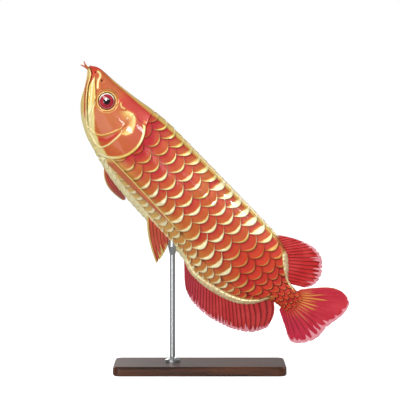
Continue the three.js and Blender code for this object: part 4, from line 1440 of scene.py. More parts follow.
@dataclass
class ScaleCoat:
    """Large overlapping scales, row by row, as solid plates with raised free edges.

    The steps along and across a scale are given as the most and the fewest that it can have.
    """

    first_x: float = 0.103
    pitch: float = 0.020
    shrink_x: float = 0.400
    shrink: float = 0.09
    lift: float = 0.085
    arc_depth: float = 2.0
    length: float = 1.42
    thickness: float = 0.0005
    doming: float = 0.0003
    dome_width: float = 0.62
    bead: float = 0.00032
    bead_at: float = 0.11
    bead_width: float = 0.075
    tuck: float = 0.0024
    worn_edge: float = 0.35
    along_steps: tuple[int, int] = (13, 9)
    across_steps: tuple[int, int] = (21, 13)
    map_pitches: float = 27
    map_half: float = 0.485
    map_fill: float = 0.9
    rows: tuple[ScaleRow, ...] = (
        ScaleRow("back", 0.0, 0.10, 0.5, rim=0.3, first=1, raised=0.55),
        ScaleRow("a", 0.1425, 0.185, 0.0, rim=0.3),
        ScaleRow("b", 0.3275, 0.185, 0.5, rim=0.2),
        ScaleRow("c", 0.5125, 0.185, 0.0, rim=0.2),
        ScaleRow("d", 0.6975, 0.185, 0.5, rim=0.24),
        ScaleRow("e", 0.8460, 0.112, 0.0, finer=1.35, rim=0.27, sunk=0.0003),
        ScaleRow("f", 0.9390, 0.074, 0.5, finer=1.7, rim=0.33, sunk=0.0004),
        ScaleRow("keel", 1.0, 0.06, 0.0, finer=1.7, rim=0.5, sunk=0.0004),
    )

    def along(self, index: Array) -> Array:
        """Finds where a count of pitches lies, the pitches shrinking over the tail.

        Args:
            index: Counts of pitches from the first scale.

        Returns:
            The distances from the snout.
        """
        even = (self.shrink_x - self.first_x) / self.pitch
        shrunk = self.pitch / self.shrink * (1 - np.exp(-self.shrink * (index - even)))
        return np.where(index <= even, self.first_x + index * self.pitch, self.shrink_x + shrunk)

    def row(self, row: ScaleRow, side: Side, rng: np.random.Generator) -> Sheet:
        """Shapes all the scales of one row on one side.

        Args:
            row: The row.
            side: The side of the fish.
            rng: Where small differences between scales come from.

        Returns:
            The scales as one sheet of closed plates.
        """
        finer = row.finer
        steps = [max(int(most / finer), least) for most, least in (self.along_steps, self.across_steps)]
        apexes = np.arange(row.first, row.last * finer + 0.1) + row.shift
        apexes = apexes[apexes <= row.last * finer][:, None, None]
        back = (np.linspace(0, 1, steps[0]) ** 1.6)[None, :, None]
        height = np.linspace(-row.reach, row.reach, steps[1])[None, None, :]
        wobble = rng.normal(0, 0.02, (len(apexes), 1, 1))
        lean = rng.normal(0, 0.03, (len(apexes), 1, 1))
        edge = -self.arc_depth * (height * (1 + wobble)) ** 2 + lean * height
        behind_edge = back * (self.length + edge * 0.6)
        tucked = behind_edge - edge
        x = self.along((apexes - tucked) / finer)
        ring = side.value * (row.centre + height * row.height) + 0 * x
        local = (self.pitch - self.shrink * np.maximum(0, x - self.shrink_x)) / finer
        rise = self.lift * row.raised * local * (1 - tucked) - row.sunk
        dome = self.doming / finer * (1 - (height / self.dome_width) ** 2)
        dome = dome * smooth(behind_edge, -0.2, 0.35) * (1 - smooth(tucked, 0.8, 1.3))
        bead = self.bead / finer * bell(behind_edge - self.bead_at, self.bead_width)
        bead = bead * (1 - smooth(np.abs(height), 0.35, self.dome_width))
        tilt = rise + bead + dome
        z = BODY.point(x, ring)[..., 2]
        behind = HEAD.behind(x, z)
        lift = mixed(np.full(x.shape, -self.tuck), tilt, smooth(behind, -0.0005, 0.0035))
        thick = self.thickness / finer**0.5
        worn = self.worn_edge + (1 - self.worn_edge) * np.minimum(back / 0.03, 1)
        keep = behind[:, 0, :].max(axis=1) > 0.004
        top = BODY.place(x, ring, lift - thick * 0.5 * (1 - worn))[keep]
        bottom = BODY.place(x, ring, lift - thick * (0.5 + 0.5 * worn))[keep]
        facts = {"edge": behind_edge, "height": height, "apex": apexes, "x": x, "z": z}
        facts = {key: np.broadcast_to(value, x.shape)[keep] for key, value in facts.items()}
        return self.gather(row, side, top, bottom, facts, rng)

    def gather(
        self, row: ScaleRow, side: Side, top: Array, bottom: Array, facts: dict[str, Array],
        rng: np.random.Generator,
    ) -> Sheet:
        """Joins the plates of a row and works out their markings and their map.

        Args:
            row: The row.
            side: The side of the fish.
            top: Points of the upper faces, by scale, step along and step across.
            bottom: Points of the lower faces.
            facts: Where each point lies on its scale and on the fish.
            rng: Where small differences between scales come from.

        Returns:
            The sheet.
        """
        count, m, n = top.shape[:3]
        each = 2 * m * n
        faces = plate_faces(m, n)
        if side is Side.RIGHT:
            faces = faces[:, ::-1]
        all_faces = (faces[None] + (np.arange(count) * each)[:, None, None]).reshape(-1, 4)
        points = np.stack([top, bottom], axis=1).reshape(-1, 3)
        both = {key: np.stack([value, value], axis=1).ravel() for key, value in facts.items()}
        one = np.repeat(rng.normal(0, 1, count), each)
        behind, across = both["edge"] / self.length, both["height"] / (2 * row.reach + 0.02)
        u = (both["apex"] - behind * self.map_fill) / row.finer / self.map_pitches
        v = 0.5 + self.map_half * (row.centre + across * row.height * self.map_fill)
        uv = np.stack([u, v], axis=1)[all_faces.ravel()]
        return Sheet(BODY.to_world(points), all_faces, self.markings(row, both, one), uv)

    def markings(self, row: ScaleRow, facts: dict[str, Array], one: Array) -> dict[str, Array]:
        """Rim, core and painted shadow of each scale over the trunk's own zones.

        Args:
            row: The row.
            facts: Where each point lies on its scale and on the fish.
            one: A random number for the scale that each point is on.

        Returns:
            The masks by name.
        """
        x, z, edge, height = facts["x"], facts["z"], facts["edge"], facts["height"]
        masks = trunk_masks(x, z)
        calm = 1 - 0.8 * smooth(masks["gold"], 0.45, 0.95)
        del masks["fold"]
        above = (smooth(z, -0.012, 0.006) + smooth(-z, 0.045, 0.075)) * 0.035
        middle = smooth(x, 0.15, 0.26) * (1 - smooth(x - above, 0.365, 0.415))
        rear, tail = smooth(x - above, 0.375, 0.43), smooth(x, 0.455, 0.485)
        upper = bell(z - 0.012, 0.026) * smooth(x, 0.24, 0.33) * (1 - rear)
        low = smooth(-z, 0.02, 0.1)
        wide = row.rim * (0.62 + 0.75 * middle + 0.45 * upper + 0.2 * low + 0.4 * rear)
        wide = wide * (1 + 0.14 * one) * (1 - 0.85 * smooth(np.abs(height - 0.06), 0.08, 0.6))
        rim = 1 - smooth(edge, wide * 0.8, wide * 1.12 + 0.01)
        covered = self.exposure(edge, height)
        core = smooth(covered, 0.0, 0.5)
        gilt = rim * (1 - 0.42 * rear - 0.2 * smooth(x, 0.45, 0.49))
        gilt = gilt * smooth(HEAD.behind(x, z), 0.008, 0.022)
        pale = rim * (0.36 + 0.44 * middle + 0.4 * low + 0.3 * upper - 0.4 * rear + 0.12 * one)
        # Painted shade: a dark line along each scale's free edge and a dark band where the scale comes
        # out from under the ones ahead, deeper toward the tail.
        line = bell(edge, 0.05 + 0.04 * rear) * (0.5 + 0.25 * rear + 0.2 * tail)
        line = line * (1 - 0.5 * low * (1 - rear))
        shadow = 1 - smooth(covered, -0.02 + 0.05 * tail, 0.08 + 0.12 * tail)
        masks |= {
            "gold": np.maximum(masks["gold"], gilt),
            "cream": np.maximum(masks["cream"], pale),
            # The ruby is the fish's own red, deepened as painted shade toward where the scale goes
            # under the ones ahead.
            "ruby": np.clip(masks["ruby"] + 0.2 * one + 0.6 * (1 - core), 0, 1) * (1 - rim),
            "scarlet": masks["scarlet"] * (1 + 0.3 * np.minimum(one, 0)),
            "tan": masks["tan"] + 0.5 * core * (1 - rear) - 0.14 * one,
            "dusk": np.clip(np.maximum((0.65 + 0.2 * tail) * shadow, line), 0, 1) * calm,
        }
        masks = {key: np.clip(value, 0, 1) for key, value in masks.items()}
        masks["local"] = np.stack([height * 4, edge * 4, one], axis=1)
        masks["rings"] = np.hypot(height * 0.9, 0.9 - edge) * 0.3
        return masks

    def exposure(self, edge: Array, height: Array) -> Array:
        """How far a point lies behind the free edges of the scales over it.

        Args:
            edge: How far it lies behind its own scale's free edge.
            height: How far it lies from its scale's middle.

        Returns:
            The distance in pitches, below 0 where it is covered.
        """
        own = -self.arc_depth * height**2 - edge
        ahead = -1 - self.arc_depth * height**2
        beside = -0.5 - self.arc_depth * (1 - np.abs(height)) ** 2
        return own - np.maximum(ahead, beside)

    def build(self, material: bpy.types.Material) -> list[bpy.types.Object]:
        """Makes every row, the one on the back and the keel only once.

        Args:
            material: The finish of all scales.

        Returns:
            A piece for each row and side.
        """
        rng = np.random.default_rng(SEED)
        pieces = []
        for row in self.rows:
            single = row.centre in (0.0, 1.0)
            for side in [Side.LEFT] if single else Side:
                name = f"scales_{row.name}" if single else f"scales_{row.name}_{side.name.lower()}"
                pieces.append(self.row(row, side, rng).build(name, material, "scaled_skin"))
        return pieces


@dataclass
class Fin:
    """A rayed fin: a thin solid sheet with raised, branching rays and a torn margin."""

    name: str
    root: Callable[[Array], Array]
    edge: Callable[[Array], Array]
    across: Array
    rays: int
    thick: float
    thin: float
    ridge: float
    notch: float
    bow: FinField | None = None
    swell: FinField | None = None
    crowd: float = 1.0
    wave: float = 0.001
    frill: float = 0.075
    per_ray: int = 12
    steps: int = 60
    pale_width: float = 0.07
    pale_from: float = 0.0
    skew: float = 1.0
    lines_to: float = 2.0
    lead_pale: float = 0.0
    plum: float = 0.0
    tan: float = 0.0
    teeth: int = 20
    margin: float = 0.7
    early: float = 0.0
    # Lightens or darkens the fin's whole colour, set fin by fin: painted light and shade.
    bright: float = 1.0
    cream_margin: bool = False
    root_cream: float = 0.0
    ray_width: float = 1.0
    amber: FinField | None = None
    rouge: FinField | None = None
    gold: FinField | None = None
    quiet: FinField | None = None

    def rays_at(self, u: Array, v: Array) -> tuple[Array, Array]:
        """The height of the rays and the offset from the nearest one.

        Args:
            u: The share across the fin.
            v: The share out from its root.

        Returns:
            The ray height from 0 to 1, and the offset from -0.5 to 0.5.
        """
        offset = np.mod(u * self.rays, 1) - 0.5
        fork = 0.16 * smooth(v, 0.6, 1.0)
        away = np.abs(np.abs(offset) - fork)
        width = (0.15 - 0.06 * smooth(v, 0.3, 0.9)) * self.ray_width
        return bell(away, width), offset

    def worn(self, u: Array, rng: np.random.Generator) -> Array:
        """How far the pale teeth of the margin reach inward.

        Args:
            u: The share across the fin.
            rng: Where the teeth's places and lengths come from.

        Returns:
            The reach, in widths of the margin.
        """
        reach = np.zeros_like(u)
        for centre in (np.arange(self.teeth) + rng.uniform(0.2, 0.8, self.teeth)) / self.teeth:
            half = rng.uniform(0.2, 0.42) / self.teeth
            depth = rng.uniform(0.35, 1.0) ** 2 * 3.0
            reach = np.maximum(reach, depth * np.maximum(0, 1 - np.abs(u - centre) / half))
        return reach

    def surfaces(self, u: Array, v: Array, rng: np.random.Generator) -> Array:
        """Shapes the fin's two faces.

        Args:
            u: The share across the fin.
            v: The share out from its root.
            rng: Where the depths of the tears between the rays come from.

        Returns:
            The points of the near and of the far face.
        """
        ray, offset = self.rays_at(u, v)
        tear = rng.uniform(0.2, 1.0, self.rays + 2) ** 2
        which = np.clip(np.round(u * self.rays).astype(int), 0, self.rays + 1)
        ragged = self.notch * tear[which] * np.abs(2 * offset) ** 3
        frill = np.sin(u * self.rays * 23 + 3 * np.sin(u * 19)) * smooth(v, 0.8, 1)
        frill = frill * self.notch * self.frill
        root, edge = self.root(u[:, 0])[:, None], self.edge(u[:, 0] ** self.skew)[:, None]
        points = root + (edge - root) * (1 - ragged - frill)[..., None] * v[..., None]
        if self.bow:
            points = points + self.bow(u, v)
        wave = self.wave * (np.sin(u * 7.5 + 1.2) + 0.5 * np.sin(u * 17 + 4 * v)) * v**2
        points = points + self.across * wave[..., None]
        half = mixed(self.thick, self.thin, v**0.6) / 2 + self.ridge * ray * (1 - 0.75 * v)
        half = half * (1 - 0.6 * smooth(v, 0.93, 1.0))
        if self.swell:
            half = half + self.swell(u, v)
        offset_by = self.across * half[..., None]
        return np.stack([points - offset_by, points + offset_by])

    def markings(self, u: Array, v: Array, rng: np.random.Generator) -> dict[str, Array]:
        """Rays, margins and tints.

        Args:
            u: The share across the fin.
            v: The share out from its root.
            rng: Where the pale teeth come from.

        Returns:
            The masks by name.
        """
        nothing = np.zeros_like(u)
        amber, rouge, gold, quiet = (
            tint(u, v) if tint else nothing for tint in (self.amber, self.rouge, self.gold, self.quiet)
        )
        start = smooth(u, self.pale_from, self.pale_from + 0.2)
        margin = self.margin * mixed(self.early, 1, start) + self.worn(u, rng) * start
        pale = smooth(v + self.pale_width * margin, 0.985, 1.0)
        pale = np.maximum(pale, self.lead_pale * (1 - smooth(u, 0.02, 0.04)))
        if self.cream_margin:
            gold, pale = np.maximum(gold, pale), nothing
        lines = 1 - smooth(v, self.lines_to - 0.25, self.lines_to) * 0.85
        return {
            "ray": self.rays_at(u, v)[0] * lines * (1 - quiet),
            "pale": pale,
            "out": v,
            "gold": np.maximum(gold, self.root_cream * (1 - smooth(v, 0.02, 0.13))),
            "plum": self.plum * (1 - smooth(u, 0.15, 0.5)),
            "tan": nothing + self.tan,
            "bright": nothing + self.bright,
            "amber": amber,
            "rouge": rouge,
        }

    def build(self, material: bpy.types.Material, rng: np.random.Generator) -> bpy.types.Object:
        """Makes the fin.

        Args:
            material: Its finish.
            rng: Where the tears and teeth of the margin come from.

        Returns:
            The fin.
        """
        across = np.linspace(0, 1, self.rays * self.per_ray + 1)[:, None]
        u, v = np.broadcast_arrays(across, np.linspace(0, 1, self.steps) ** self.crowd)
        points = self.surfaces(u, v, rng).reshape(-1, 3)
        faces = plate_faces(*u.shape)
        stored = {key: np.tile(value.ravel(), 2) for key, value in self.markings(u, v, rng).items()}
        local = np.stack([u * self.rays / 10, v, 0 * u], axis=-1)
        stored["local"] = np.tile(local.reshape(-1, 3), (2, 1))
        uv = np.stack([0.02 + 0.46 * u, 0.02 + 0.96 * v], axis=-1)
        flat_uv = np.stack([uv, uv + [0.5, 0]]).reshape(-1, 2)[faces.ravel()]
        sheet = Sheet(BODY.to_world(points), faces, stored, flat_uv)
        return sheet.build(self.name, material, "fin_red")


UPRIGHT = np.array([0.0, 1.0, 0.0])


@dataclass(frozen=True)
class FinLines:
    """A paired fin's root, free edge and bend, given on the left side."""

    root: Sequence[tuple[float, float, float]]
    edge: Sequence[tuple[float, float, float]]
    bow: tuple[float, float, float]


PECTORALS = {
    Side.LEFT: FinLines(
        root=((0.129, 0.0170, -0.0815), (0.134, 0.0125, -0.0915)),
        edge=(
            (0.304, 0.050, -0.0835), (0.268, 0.044, -0.0866), (0.232, 0.036, -0.0885),
            (0.196, 0.028, -0.0908), (0.160, 0.0195, -0.0922),
        ),
        bow=(0.0, 0.004, 0.0015),
    ),
    Side.RIGHT: FinLines(
        root=((0.128, 0.015, -0.090), (0.140, 0.013, -0.095)),
        edge=(
            (0.2002, 0.104, -0.1241), (0.2027, 0.086, -0.1186), (0.197, 0.064, -0.112),
            (0.1813, 0.042, -0.1053), (0.1607, 0.024, -0.0997),
        ),
        bow=(-0.005, 0.002, -0.014),
    ),
}
PELVIC = FinLines(
    root=((0.245, 0.006, -0.105), (0.300, 0.005, -0.107)),
    edge=(
        (0.315, 0.024, -0.150), (0.314, 0.019, -0.139), (0.311, 0.013, -0.126), (0.306, 0.007, -0.113),
    ),
    bow=(-0.003, 0.002, -0.003),
)


@dataclass
class FinSet:
    """All seven fins."""

    sunk: float = 0.005
    dorsal_root: tuple[float, float] = (0.422, 0.494)
    anal_root: tuple[float, float] = (0.338, 0.497)
    caudal_root: float = 0.5163
    caudal_inset: float = 0.0004
    caudal_slim: float = 0.0016
    paired_rays: int = 6

    def median(
        self, name: str, ends: tuple[float, float], line: Profile, inward: int, edge: Points, rays: int,
        bulge: float = 0.0, **sizes: Any,
    ) -> Fin:
        """A fin along the middle of the back or belly.

        Args:
            name: The fin's name.
            ends: Where its root starts and stops along the fish.
            line: The body line that it stands on.
            inward: 1 or -1, the way into the body.
            edge: Its free edge.
            rays: How many rays it has.
            bulge: How far its last rays curve outward.
            **sizes: Further sizes of the fin.

        Returns:
            The fin.
        """
        curve = Curve([(x, 0, z) for x, z in edge])

        def root(u: Array) -> Array:
            """Points of the root, sunk into the body."""
            x = mixed(*ends, u)
            return np.stack([x, 0 * x, line(x) + inward * self.sunk], axis=-1)

        def bow(u: Array, v: Array) -> Array:
            """The outward curve of the last rays."""
            part = np.sin(math.pi * v) * smooth(u, 0.7, 1.0) * bulge
            return np.stack([part, 0 * part, part], axis=-1)

        return Fin(
            name, root, curve.at, UPRIGHT, rays, bow=bow, thick=0.0022, thin=0.0006, ridge=0.0006,
            notch=0.06, wave=0.0014, **sizes,
        )

    def dorsal(self) -> Fin:
        """The dorsal fin.

        Returns:
            The fin.
        """
        return self.median(
            "fin_dorsal", self.dorsal_root, BODY.back, -1, DORSAL_EDGE, 18, pale_width=0.1,
            pale_from=0.2, skew=0.9, lead_pale=0.8, early=0.45,
        )

    def anal(self) -> Fin:
        """The anal fin.

        Returns:
            The fin.
        """

        def rouge(u: Array, v: Array) -> Array:
            """The cooler red between the front rays."""
            return 0.25 + 0.25 * (1 - smooth(u, 0.2, 0.6)) + 0 * v

        return self.median(
            "fin_anal", self.anal_root, BODY.belly, 1, ANAL_EDGE, 27, bulge=0.0045, plum=0.8, tan=0.1,
            pale_width=0.07, pale_from=0.04, ray_width=1.2, teeth=30, bright=0.92, margin=0.9,
            rouge=rouge,
        )

    def caudal(self) -> Fin:
        """The tail fin, with a thick root that closes the end of the body.

        Returns:
            The fin.
        """
        x = self.caudal_root
        top = float(BODY.back(np.array(x))) - self.caudal_inset
        bottom = float(BODY.belly(np.array(x))) + self.caudal_inset
        width = float(BODY.half_width(np.array(x))) - self.caudal_slim
        curve = Curve([(a, 0, b) for a, b in CAUDAL_EDGE])

        def root(u: Array) -> Array:
            """Points of the root, down the end of the tail."""
            return np.stack([np.full(u.shape, x), 0 * u, mixed(top, bottom, u)], axis=-1)

        def swell(u: Array, v: Array) -> Array:
            """The thick root that thins out into the sheet."""
            return width * np.maximum(np.sin(math.pi * u), 0) ** 0.7 * (1 - np.minimum(v / 0.3, 1)) ** 2

        def quiet(u: Array, v: Array) -> Array:
            """The upper lobe, where the rays show only as relief."""
            return 0.9 * (1 - smooth(u, 0.4, 0.6)) * smooth(v, 0.12, 0.3)

        def amber(u: Array, v: Array) -> Array:
            """Golden streaks that fan out beyond the last scales.

            Args:
                u: The share across the fin.
                v: The share out from its root.

            Returns:
                The mask.
            """
            streaks = np.clip(np.sin(u * 22 * 2 * math.pi) * 0.8 + 0.6, 0, 1) * bell(u - 0.34, 0.24)
            reach = 0.52 + 0.1 * np.sin(u * 97) + 0.06 * np.sin(u * 211)
            return streaks * smooth(v, 0.10, 0.24) * (1 - smooth(v, reach - 0.14, reach))

        def rouge(u: Array, v: Array) -> Array:
            """The cooler red of the fin, deepest in the lower lobe."""
            return (0.5 + 0.3 * smooth(u, 0.5, 0.75)) * smooth(v, 0.1, 0.5)

        def gold(u: Array, v: Array) -> Array:
            """Cream lines along the upper and lower margins."""
            rim = 1 - smooth((1 - v) * mixed(0.009, 0.06, smooth(u, 0, 0.2)), 0.0018, 0.0032)
            return rim * (1 - smooth(u, 0.16, 0.26) + smooth(u, 0.9, 0.95) * 0.6)

        return Fin(
            "fin_caudal", root, curve.at, UPRIGHT, rays=22, thick=0.0014, thin=0.0006, ridge=0.0005,
            notch=0.03, swell=swell, crowd=1.25, wave=0.0018, per_ray=10, steps=80, pale_width=0.08,
            pale_from=0.3, lines_to=0.85, ray_width=0.85, teeth=24, gold=gold, amber=amber, rouge=rouge,
            quiet=quiet,
        )

    def paired(self, name: str, lines: FinLines, side: Side, thick: float, **sizes: Any) -> Fin:
        """A pectoral or pelvic fin.

        Args:
            name: The fin's name.
            lines: Its root, edge and bend, given on the left side.
            side: The side that it is on.
            thick: Its thickness at the root.
            **sizes: Further sizes of the fin.

        Returns:
            The fin.
        """
        flip = np.array([1, side.value, 1])
        root, edge, bend = (np.array(line) * flip for line in (lines.root, lines.edge, lines.bow))
        across = np.cross(edge[0] - root[0], root[-1] - root[0])
        across *= np.sign(across[1]) / np.linalg.norm(across)

        def bow(u: Array, v: Array) -> Array:
            """The fin's bend out of its plane."""
            return (np.sin(math.pi * v) * (1 - u))[..., None] * bend

        return Fin(
            name, Curve(root).at, Curve(edge).at, across, self.paired_rays, thick=thick, thin=0.0007,
            ridge=0.0006, notch=0.05, bow=bow, wave=0.0006, per_ray=14, **sizes,
        )

    def pectoral(self, side: Side) -> Fin:
        """A long pectoral fin.

        Args:
            side: The side that it is on.

        Returns:
            The fin.
        """
        near = side is Side.LEFT

        def gold(u: Array, v: Array) -> Array:
            """Gold along the first and last rays."""
            return (1 - smooth(u, 0.04, 0.12)) * 0.9 + smooth(u, 0.88, 0.96) * 0.4 * smooth(v, 0.4, 0.7)

        return self.paired(
            f"fin_pectoral_{side.name.lower()}", PECTORALS[side], side, 0.0024, steps=90, gold=gold,
            tan=1.0 if near else 0.3, bright=0.95 if near else 1.3, pale_width=0.01, ray_width=1.3,
            root_cream=0.6,
        )

    def pelvic(self, side: Side) -> Fin:
        """A short pelvic fin.

        Args:
            side: The side that it is on.

        Returns:
            The fin.
        """

        def gold(u: Array, v: Array) -> Array:
            """Gold along the first ray."""
            return (1 - smooth(u, 0.03, 0.1)) * 0.9 + 0 * v

        return self.paired(
            f"fin_pelvic_{side.name.lower()}", PELVIC, side, 0.002, gold=gold, bright=0.8, tan=0.45,
            pale_width=0.18, pale_from=0.12, margin=0.3, teeth=9, ray_width=0.9, cream_margin=True,
        )

    def build(self, material: bpy.types.Material) -> None:
        """Makes every fin, in place of the solids' own.

        Args:
            material: The finish of all fins.
        """
        rng = np.random.default_rng(SEED + 1)
        fins = [(self.dorsal(), "dorsal_fin"), (self.anal(), "anal_fin"), (self.caudal(), "caudal_fin")]
        for side in Side:
            end = side.name.lower()
            fins.append((self.pectoral(side), f"pectoral_fin_{end}"))
            fins.append((self.pelvic(side), f"pelvic_fin_{end}"))
        for fin, node in fins:
            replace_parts(fin.build(material, rng), node)


@dataclass
class Eye:
    """An eyeball with a low clear dome over the iris."""

    rings: int = 40
    turns: int = 64
    cornea: float = 0.0009
    cornea_radius: float = 0.0115

    def build(self, side: Side, material: bpy.types.Material) -> bpy.types.Object:
        """Makes one eye.

        Args:
            side: The side that it is on.
            material: Its finish.

        Returns:
            The eyeball.
        """
        down = np.linspace(0, math.pi, self.rings)[1:-1, None]
        out, depth = np.sin(down) * HEAD.eye_radius, np.cos(down) * HEAD.eye_depth
        angle = np.linspace(0, 2 * math.pi, self.turns, endpoint=False)[None, :]
        bulge = 1 - smooth(out, self.cornea_radius * 0.4, self.cornea_radius)
        bulge = self.cornea * bulge * (depth > 0)
        x = HEAD.eye_x + out * np.cos(angle)
        z = HEAD.eye_z + out * np.sin(angle)
        y = side.value * (HEAD.eye_middle + depth + bulge + 0 * angle)
        grid = np.stack([x, y, z], axis=-1)
        front, back = HEAD.eye_middle + HEAD.eye_depth + self.cornea, HEAD.eye_middle - HEAD.eye_depth
        poles = [(HEAD.eye_x, side.value * reach, HEAD.eye_z) for reach in (front, back)]
        points = np.vstack([grid.reshape(-1, 3), poles])
        wide = np.append((out + 0 * angle).ravel(), [0, 0])
        turn = np.append((angle + 0 * out).ravel(), [0, 0])
        local = np.stack([np.cos(turn), wide / HEAD.eye_radius, np.sin(turn)], axis=1)
        faces = tube_faces(len(grid), self.turns)
        sheet = Sheet(BODY.to_world(points), faces, {"out": wide, "local": local})
        return sheet.build(f"eyeball_{side.name.lower()}", material, "eye_gloss")


@dataclass
class Barbel:
    """A short tapering feeler at the tip of the lower jaw."""

    root: tuple[float, float, float] = (0.001, 0.0025, -0.0055)
    sunk: float = 0.004
    spread: float = 0.004
    length: float = 0.017
    radius: float = 0.0021
    tip_radius: float = 0.0008
    sides: int = 20
    steps: int = 28

    def build(self, side: Side, rise: float, material: bpy.types.Material) -> bpy.types.Object:
        """Makes one barbel.

        Args:
            side: The side that it is on.
            rise: How far its tip lies above its root.
            material: Its finish.

        Returns:
            The barbel.
        """
        start = np.array([self.root[0], side.value * self.root[1], self.root[2]])
        tip = start + [-0.9 * self.length, side.value * self.spread, rise]
        bow = (start + tip) / 2 + [0, side.value * self.spread / 2, -rise * 0.4]
        t = np.linspace(0, 1, self.steps)[:, None]
        free = start * (1 - t) ** 2 + 2 * bow * t * (1 - t) + tip * t * t
        line = np.vstack([[start + [self.sunk, 0, 0]], free])
        share = np.append([0], t)
        radius = mixed(self.radius, self.tip_radius, share**1.5) * (1 + 0.05 * np.sin(share * 60))
        radius[-1] *= 0.3
        along = np.gradient(line, axis=0)
        along /= np.linalg.norm(along, axis=1, keepdims=True)
        sideways = np.cross(UPRIGHT, along)
        sideways /= np.linalg.norm(sideways, axis=1, keepdims=True)
        other = np.cross(along, sideways)
        turn = np.linspace(0, 2 * math.pi, self.sides, endpoint=False)[None, :, None]
        ring = sideways[:, None] * np.cos(turn) + other[:, None] * np.sin(turn)
        flat = (line[:, None] + radius[:, None, None] * ring).reshape(-1, 3)
        ends = [list(range(self.sides))[::-1], list(range(len(flat) - self.sides, len(flat)))]
        faces = np.array(grid_faces(len(line), self.sides, closed=True).tolist() + ends, dtype=object)
        shares = {"gold": 0.1, "cream": 0.0, "ruby": 0.0, "tan": 0.6, "dusk": 0.0}
        stored = {name: np.full(len(flat), value) for name, value in shares.items()}
        sheet = Sheet(BODY.to_world(flat), faces, stored)
        return sheet.build(f"feeler_{side.name.lower()}", material, "head_skin")


class Fish:
    """The whole animal."""

    def build(self) -> tuple[list[bpy.types.Object], list[bpy.types.Object]]:
        """Makes skin, scales, fins, eyes and feelers in place of the solids.

        Returns:
            The skin with its scales, and the eyes.
        """
        skin = Skin().build(HideFinish("arowana_skin").build())
        sides = [side.name.lower() for side in Side]
        paired = [f"{part}_{side}" for part in ("maxilla", "cheek", "gill_cover") for side in sides]
        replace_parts(skin, "head", "lower_jaw", *paired, "trunk_front", "trunk_rear", "tail_base")
        scale_finish = HideFinish(
            "arowana_scales", roughness=0.32, grain=500, coat=0.03, rim_coat=0.9, gloss=0.1
        )
        scales = ScaleCoat().build(scale_finish.build(scale_rings))
        FinSet().build(FinFinish("arowana_fins").build())
        eye_finish = EyeFinish("arowana_eye").build()
        feeler_finish = HideFinish("arowana_feeler").build()
        eyes = []
        for side, rise in ((Side.LEFT, 0.004), (Side.RIGHT, -0.005)):
            end = side.name.lower()
            eyes.append(Eye().build(side, eye_finish))
            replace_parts(eyes[-1], f"eye_{end}")
            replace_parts(Barbel().build(side, rise, feeler_finish), f"barbel_{end}")
        return [skin, *scales], eyes


class Stand:
    """The wooden base and the steel rod, as the solids have them."""

    def build(self) -> None:
        """Gives the stand's solids their finishes."""
        wood, steel = WoodFinish("stand_wood").build(), SteelFinish("stand_steel").build()
        for node, material in (("stand_base", wood), ("stand_rod", steel)):
            piece = bpy.data.objects[node]
            piece.data.materials.clear()
            piece.data.materials.append(material)
            log.info("%s: finished in %s", node, material.name)


@dataclass(frozen=True)
class Lamp:
    """A square soft light."""

    name: str
    place: tuple[float, float, float]
    size: float
    power: float


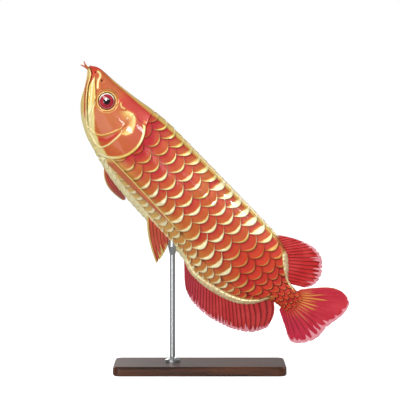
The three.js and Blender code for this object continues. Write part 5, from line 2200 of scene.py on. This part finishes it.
@dataclass
class Studio:
    """Floor, lights and camera."""

    metres_per_pixel: float = 0.00169
    pixels: int = 400
    distance: float = 4.0
    elevation: float = math.radians(2.5)
    aim: tuple[float, float, float] = (0.0005, 0.0, 0.291)
    sensor: float = 36.0
    sight: float = 100.0
    floor_size: float = 60.0
    floor_dark: str = "#f0f0f0"
    floor_light: str = "#f8f8f8"
    floor_glow: float = 0.72
    daylight: float = 0.4
    white: str = "#ffffff"
    lamps: tuple[Lamp, ...] = (
        Lamp("key", (-1.3, -1.9, 1.9), 1.0, 27),
        Lamp("front", (-0.42, -3.0, 0.76), 0.36, 22),
        Lamp("glint", (0.4, -3.05, 1.2), 0.3, 14),
        Lamp("fill", (-1.4, -2.2, 0.12), 0.9, 12),
        Lamp("rim", (1.6, 1.2, 1.6), 0.8, 14),
        Lamp("back", (-0.9, 2.5, 1.2), 1.2, 16),
    )
    eye_lamp: Lamp = Lamp("catch", (-0.49, -2.34, 1.30), 0.9, 102)
    hide_lamp: Lamp = Lamp("spark", (1.3, -2.0, 1.55), 0.22, 56)

    def build(self) -> None:
        """Sets the stage."""
        self.floor()
        self.camera()
        self.sky()
        for lamp in self.lamps:
            self.light(lamp)
        bpy.context.scene.view_settings.view_transform = "Standard"

    def floor(self) -> None:
        """A wide pale floor."""
        half = self.floor_size / 2
        corners = [(-half, -half, 0), (half, -half, 0), (half, half, 0), (-half, half, 0)]
        mesh = bpy.data.meshes.new("floor")
        mesh.from_pydata(corners, [], [(0, 1, 2, 3)])
        piece = bpy.data.objects.new("floor", mesh)
        bpy.context.scene.collection.objects.link(piece)
        piece.visible_diffuse = False
        piece.visible_glossy = False
        kit = NodeKit(bpy.data.materials.new("studio_floor"))
        mesh.materials.append(kit.finish({
            "Base Color": kit.mix(kit.noise(kit.place(), 3, 2), self.floor_dark, self.floor_light),
            "Roughness": 0.9,
            "Specular IOR Level": 0.1,
            "Emission Color": self.white,
            "Emission Strength": self.floor_glow,
        }))

    def camera(self) -> None:
        """A long lens at the picture's viewing angle."""
        data = bpy.data.cameras.new("camera")
        data.sensor_width = self.sensor
        data.lens = self.sensor * self.distance / (self.metres_per_pixel * self.pixels)
        data.clip_end = self.sight
        camera = bpy.data.objects.new("camera", data)
        back, up = math.cos(self.elevation), math.sin(self.elevation)
        camera.location = np.array(self.aim) + [0, -self.distance * back, self.distance * up]
        camera.rotation_euler = (math.pi / 2 - self.elevation, 0, 0)
        bpy.context.scene.collection.objects.link(camera)
        bpy.context.scene.camera = camera

    def sky(self) -> None:
        """Soft daylight all round, white where the camera sees it."""
        kit = NodeKit(bpy.data.worlds.new("studio"), "ShaderNodeOutputWorld")
        seen = kit.read("ShaderNodeLightPath", "Is Camera Ray")
        level = kit.read("ShaderNodeMapRange", 0, values={"Value": seen, "To Min": self.daylight})
        world = kit.finish({"Color": self.white, "Strength": level}, "ShaderNodeBackground")
        bpy.context.scene.world = world

    def light(self, lamp: Lamp) -> bpy.types.Object:
        """Sets up a lamp that faces the fish.

        Args:
            lamp: The lamp.

        Returns:
            The light.
        """
        data = bpy.data.lights.new(lamp.name, "AREA")
        data.size = lamp.size
        data.energy = lamp.power
        light = bpy.data.objects.new(lamp.name, data)
        light.location = lamp.place
        x, y, z = np.array(self.aim) - lamp.place
        light.rotation_euler = (math.atan2(math.hypot(x, y), -z), 0, math.atan2(y, x) - math.pi / 2)
        bpy.context.scene.collection.objects.link(light)
        return light

    def gloss(self, lamp: Lamp, pieces: Sequence[bpy.types.Object]) -> None:
        """Sets up a lamp that shows only as a gloss on some pieces.

        Args:
            lamp: The lamp.
            pieces: The pieces that it lights.
        """
        light = self.light(lamp)
        light.visible_diffuse = False
        receivers = bpy.data.collections.new(lamp.name)
        light.light_linking.receiver_collection = receivers
        for piece in pieces:
            receivers.objects.link(piece)


def main() -> None:
    """Builds everything in order."""
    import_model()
    studio = Studio()
    studio.build()
    hide, eyes = Fish().build()
    studio.gloss(studio.eye_lamp, eyes)
    studio.gloss(studio.hide_lamp, hide)
    Stand().build()
    log.info("sizes written")


if __name__ == "__main__":
    logging.basicConfig(level=logging.INFO, format="%(name)s: %(message)s")
    main()
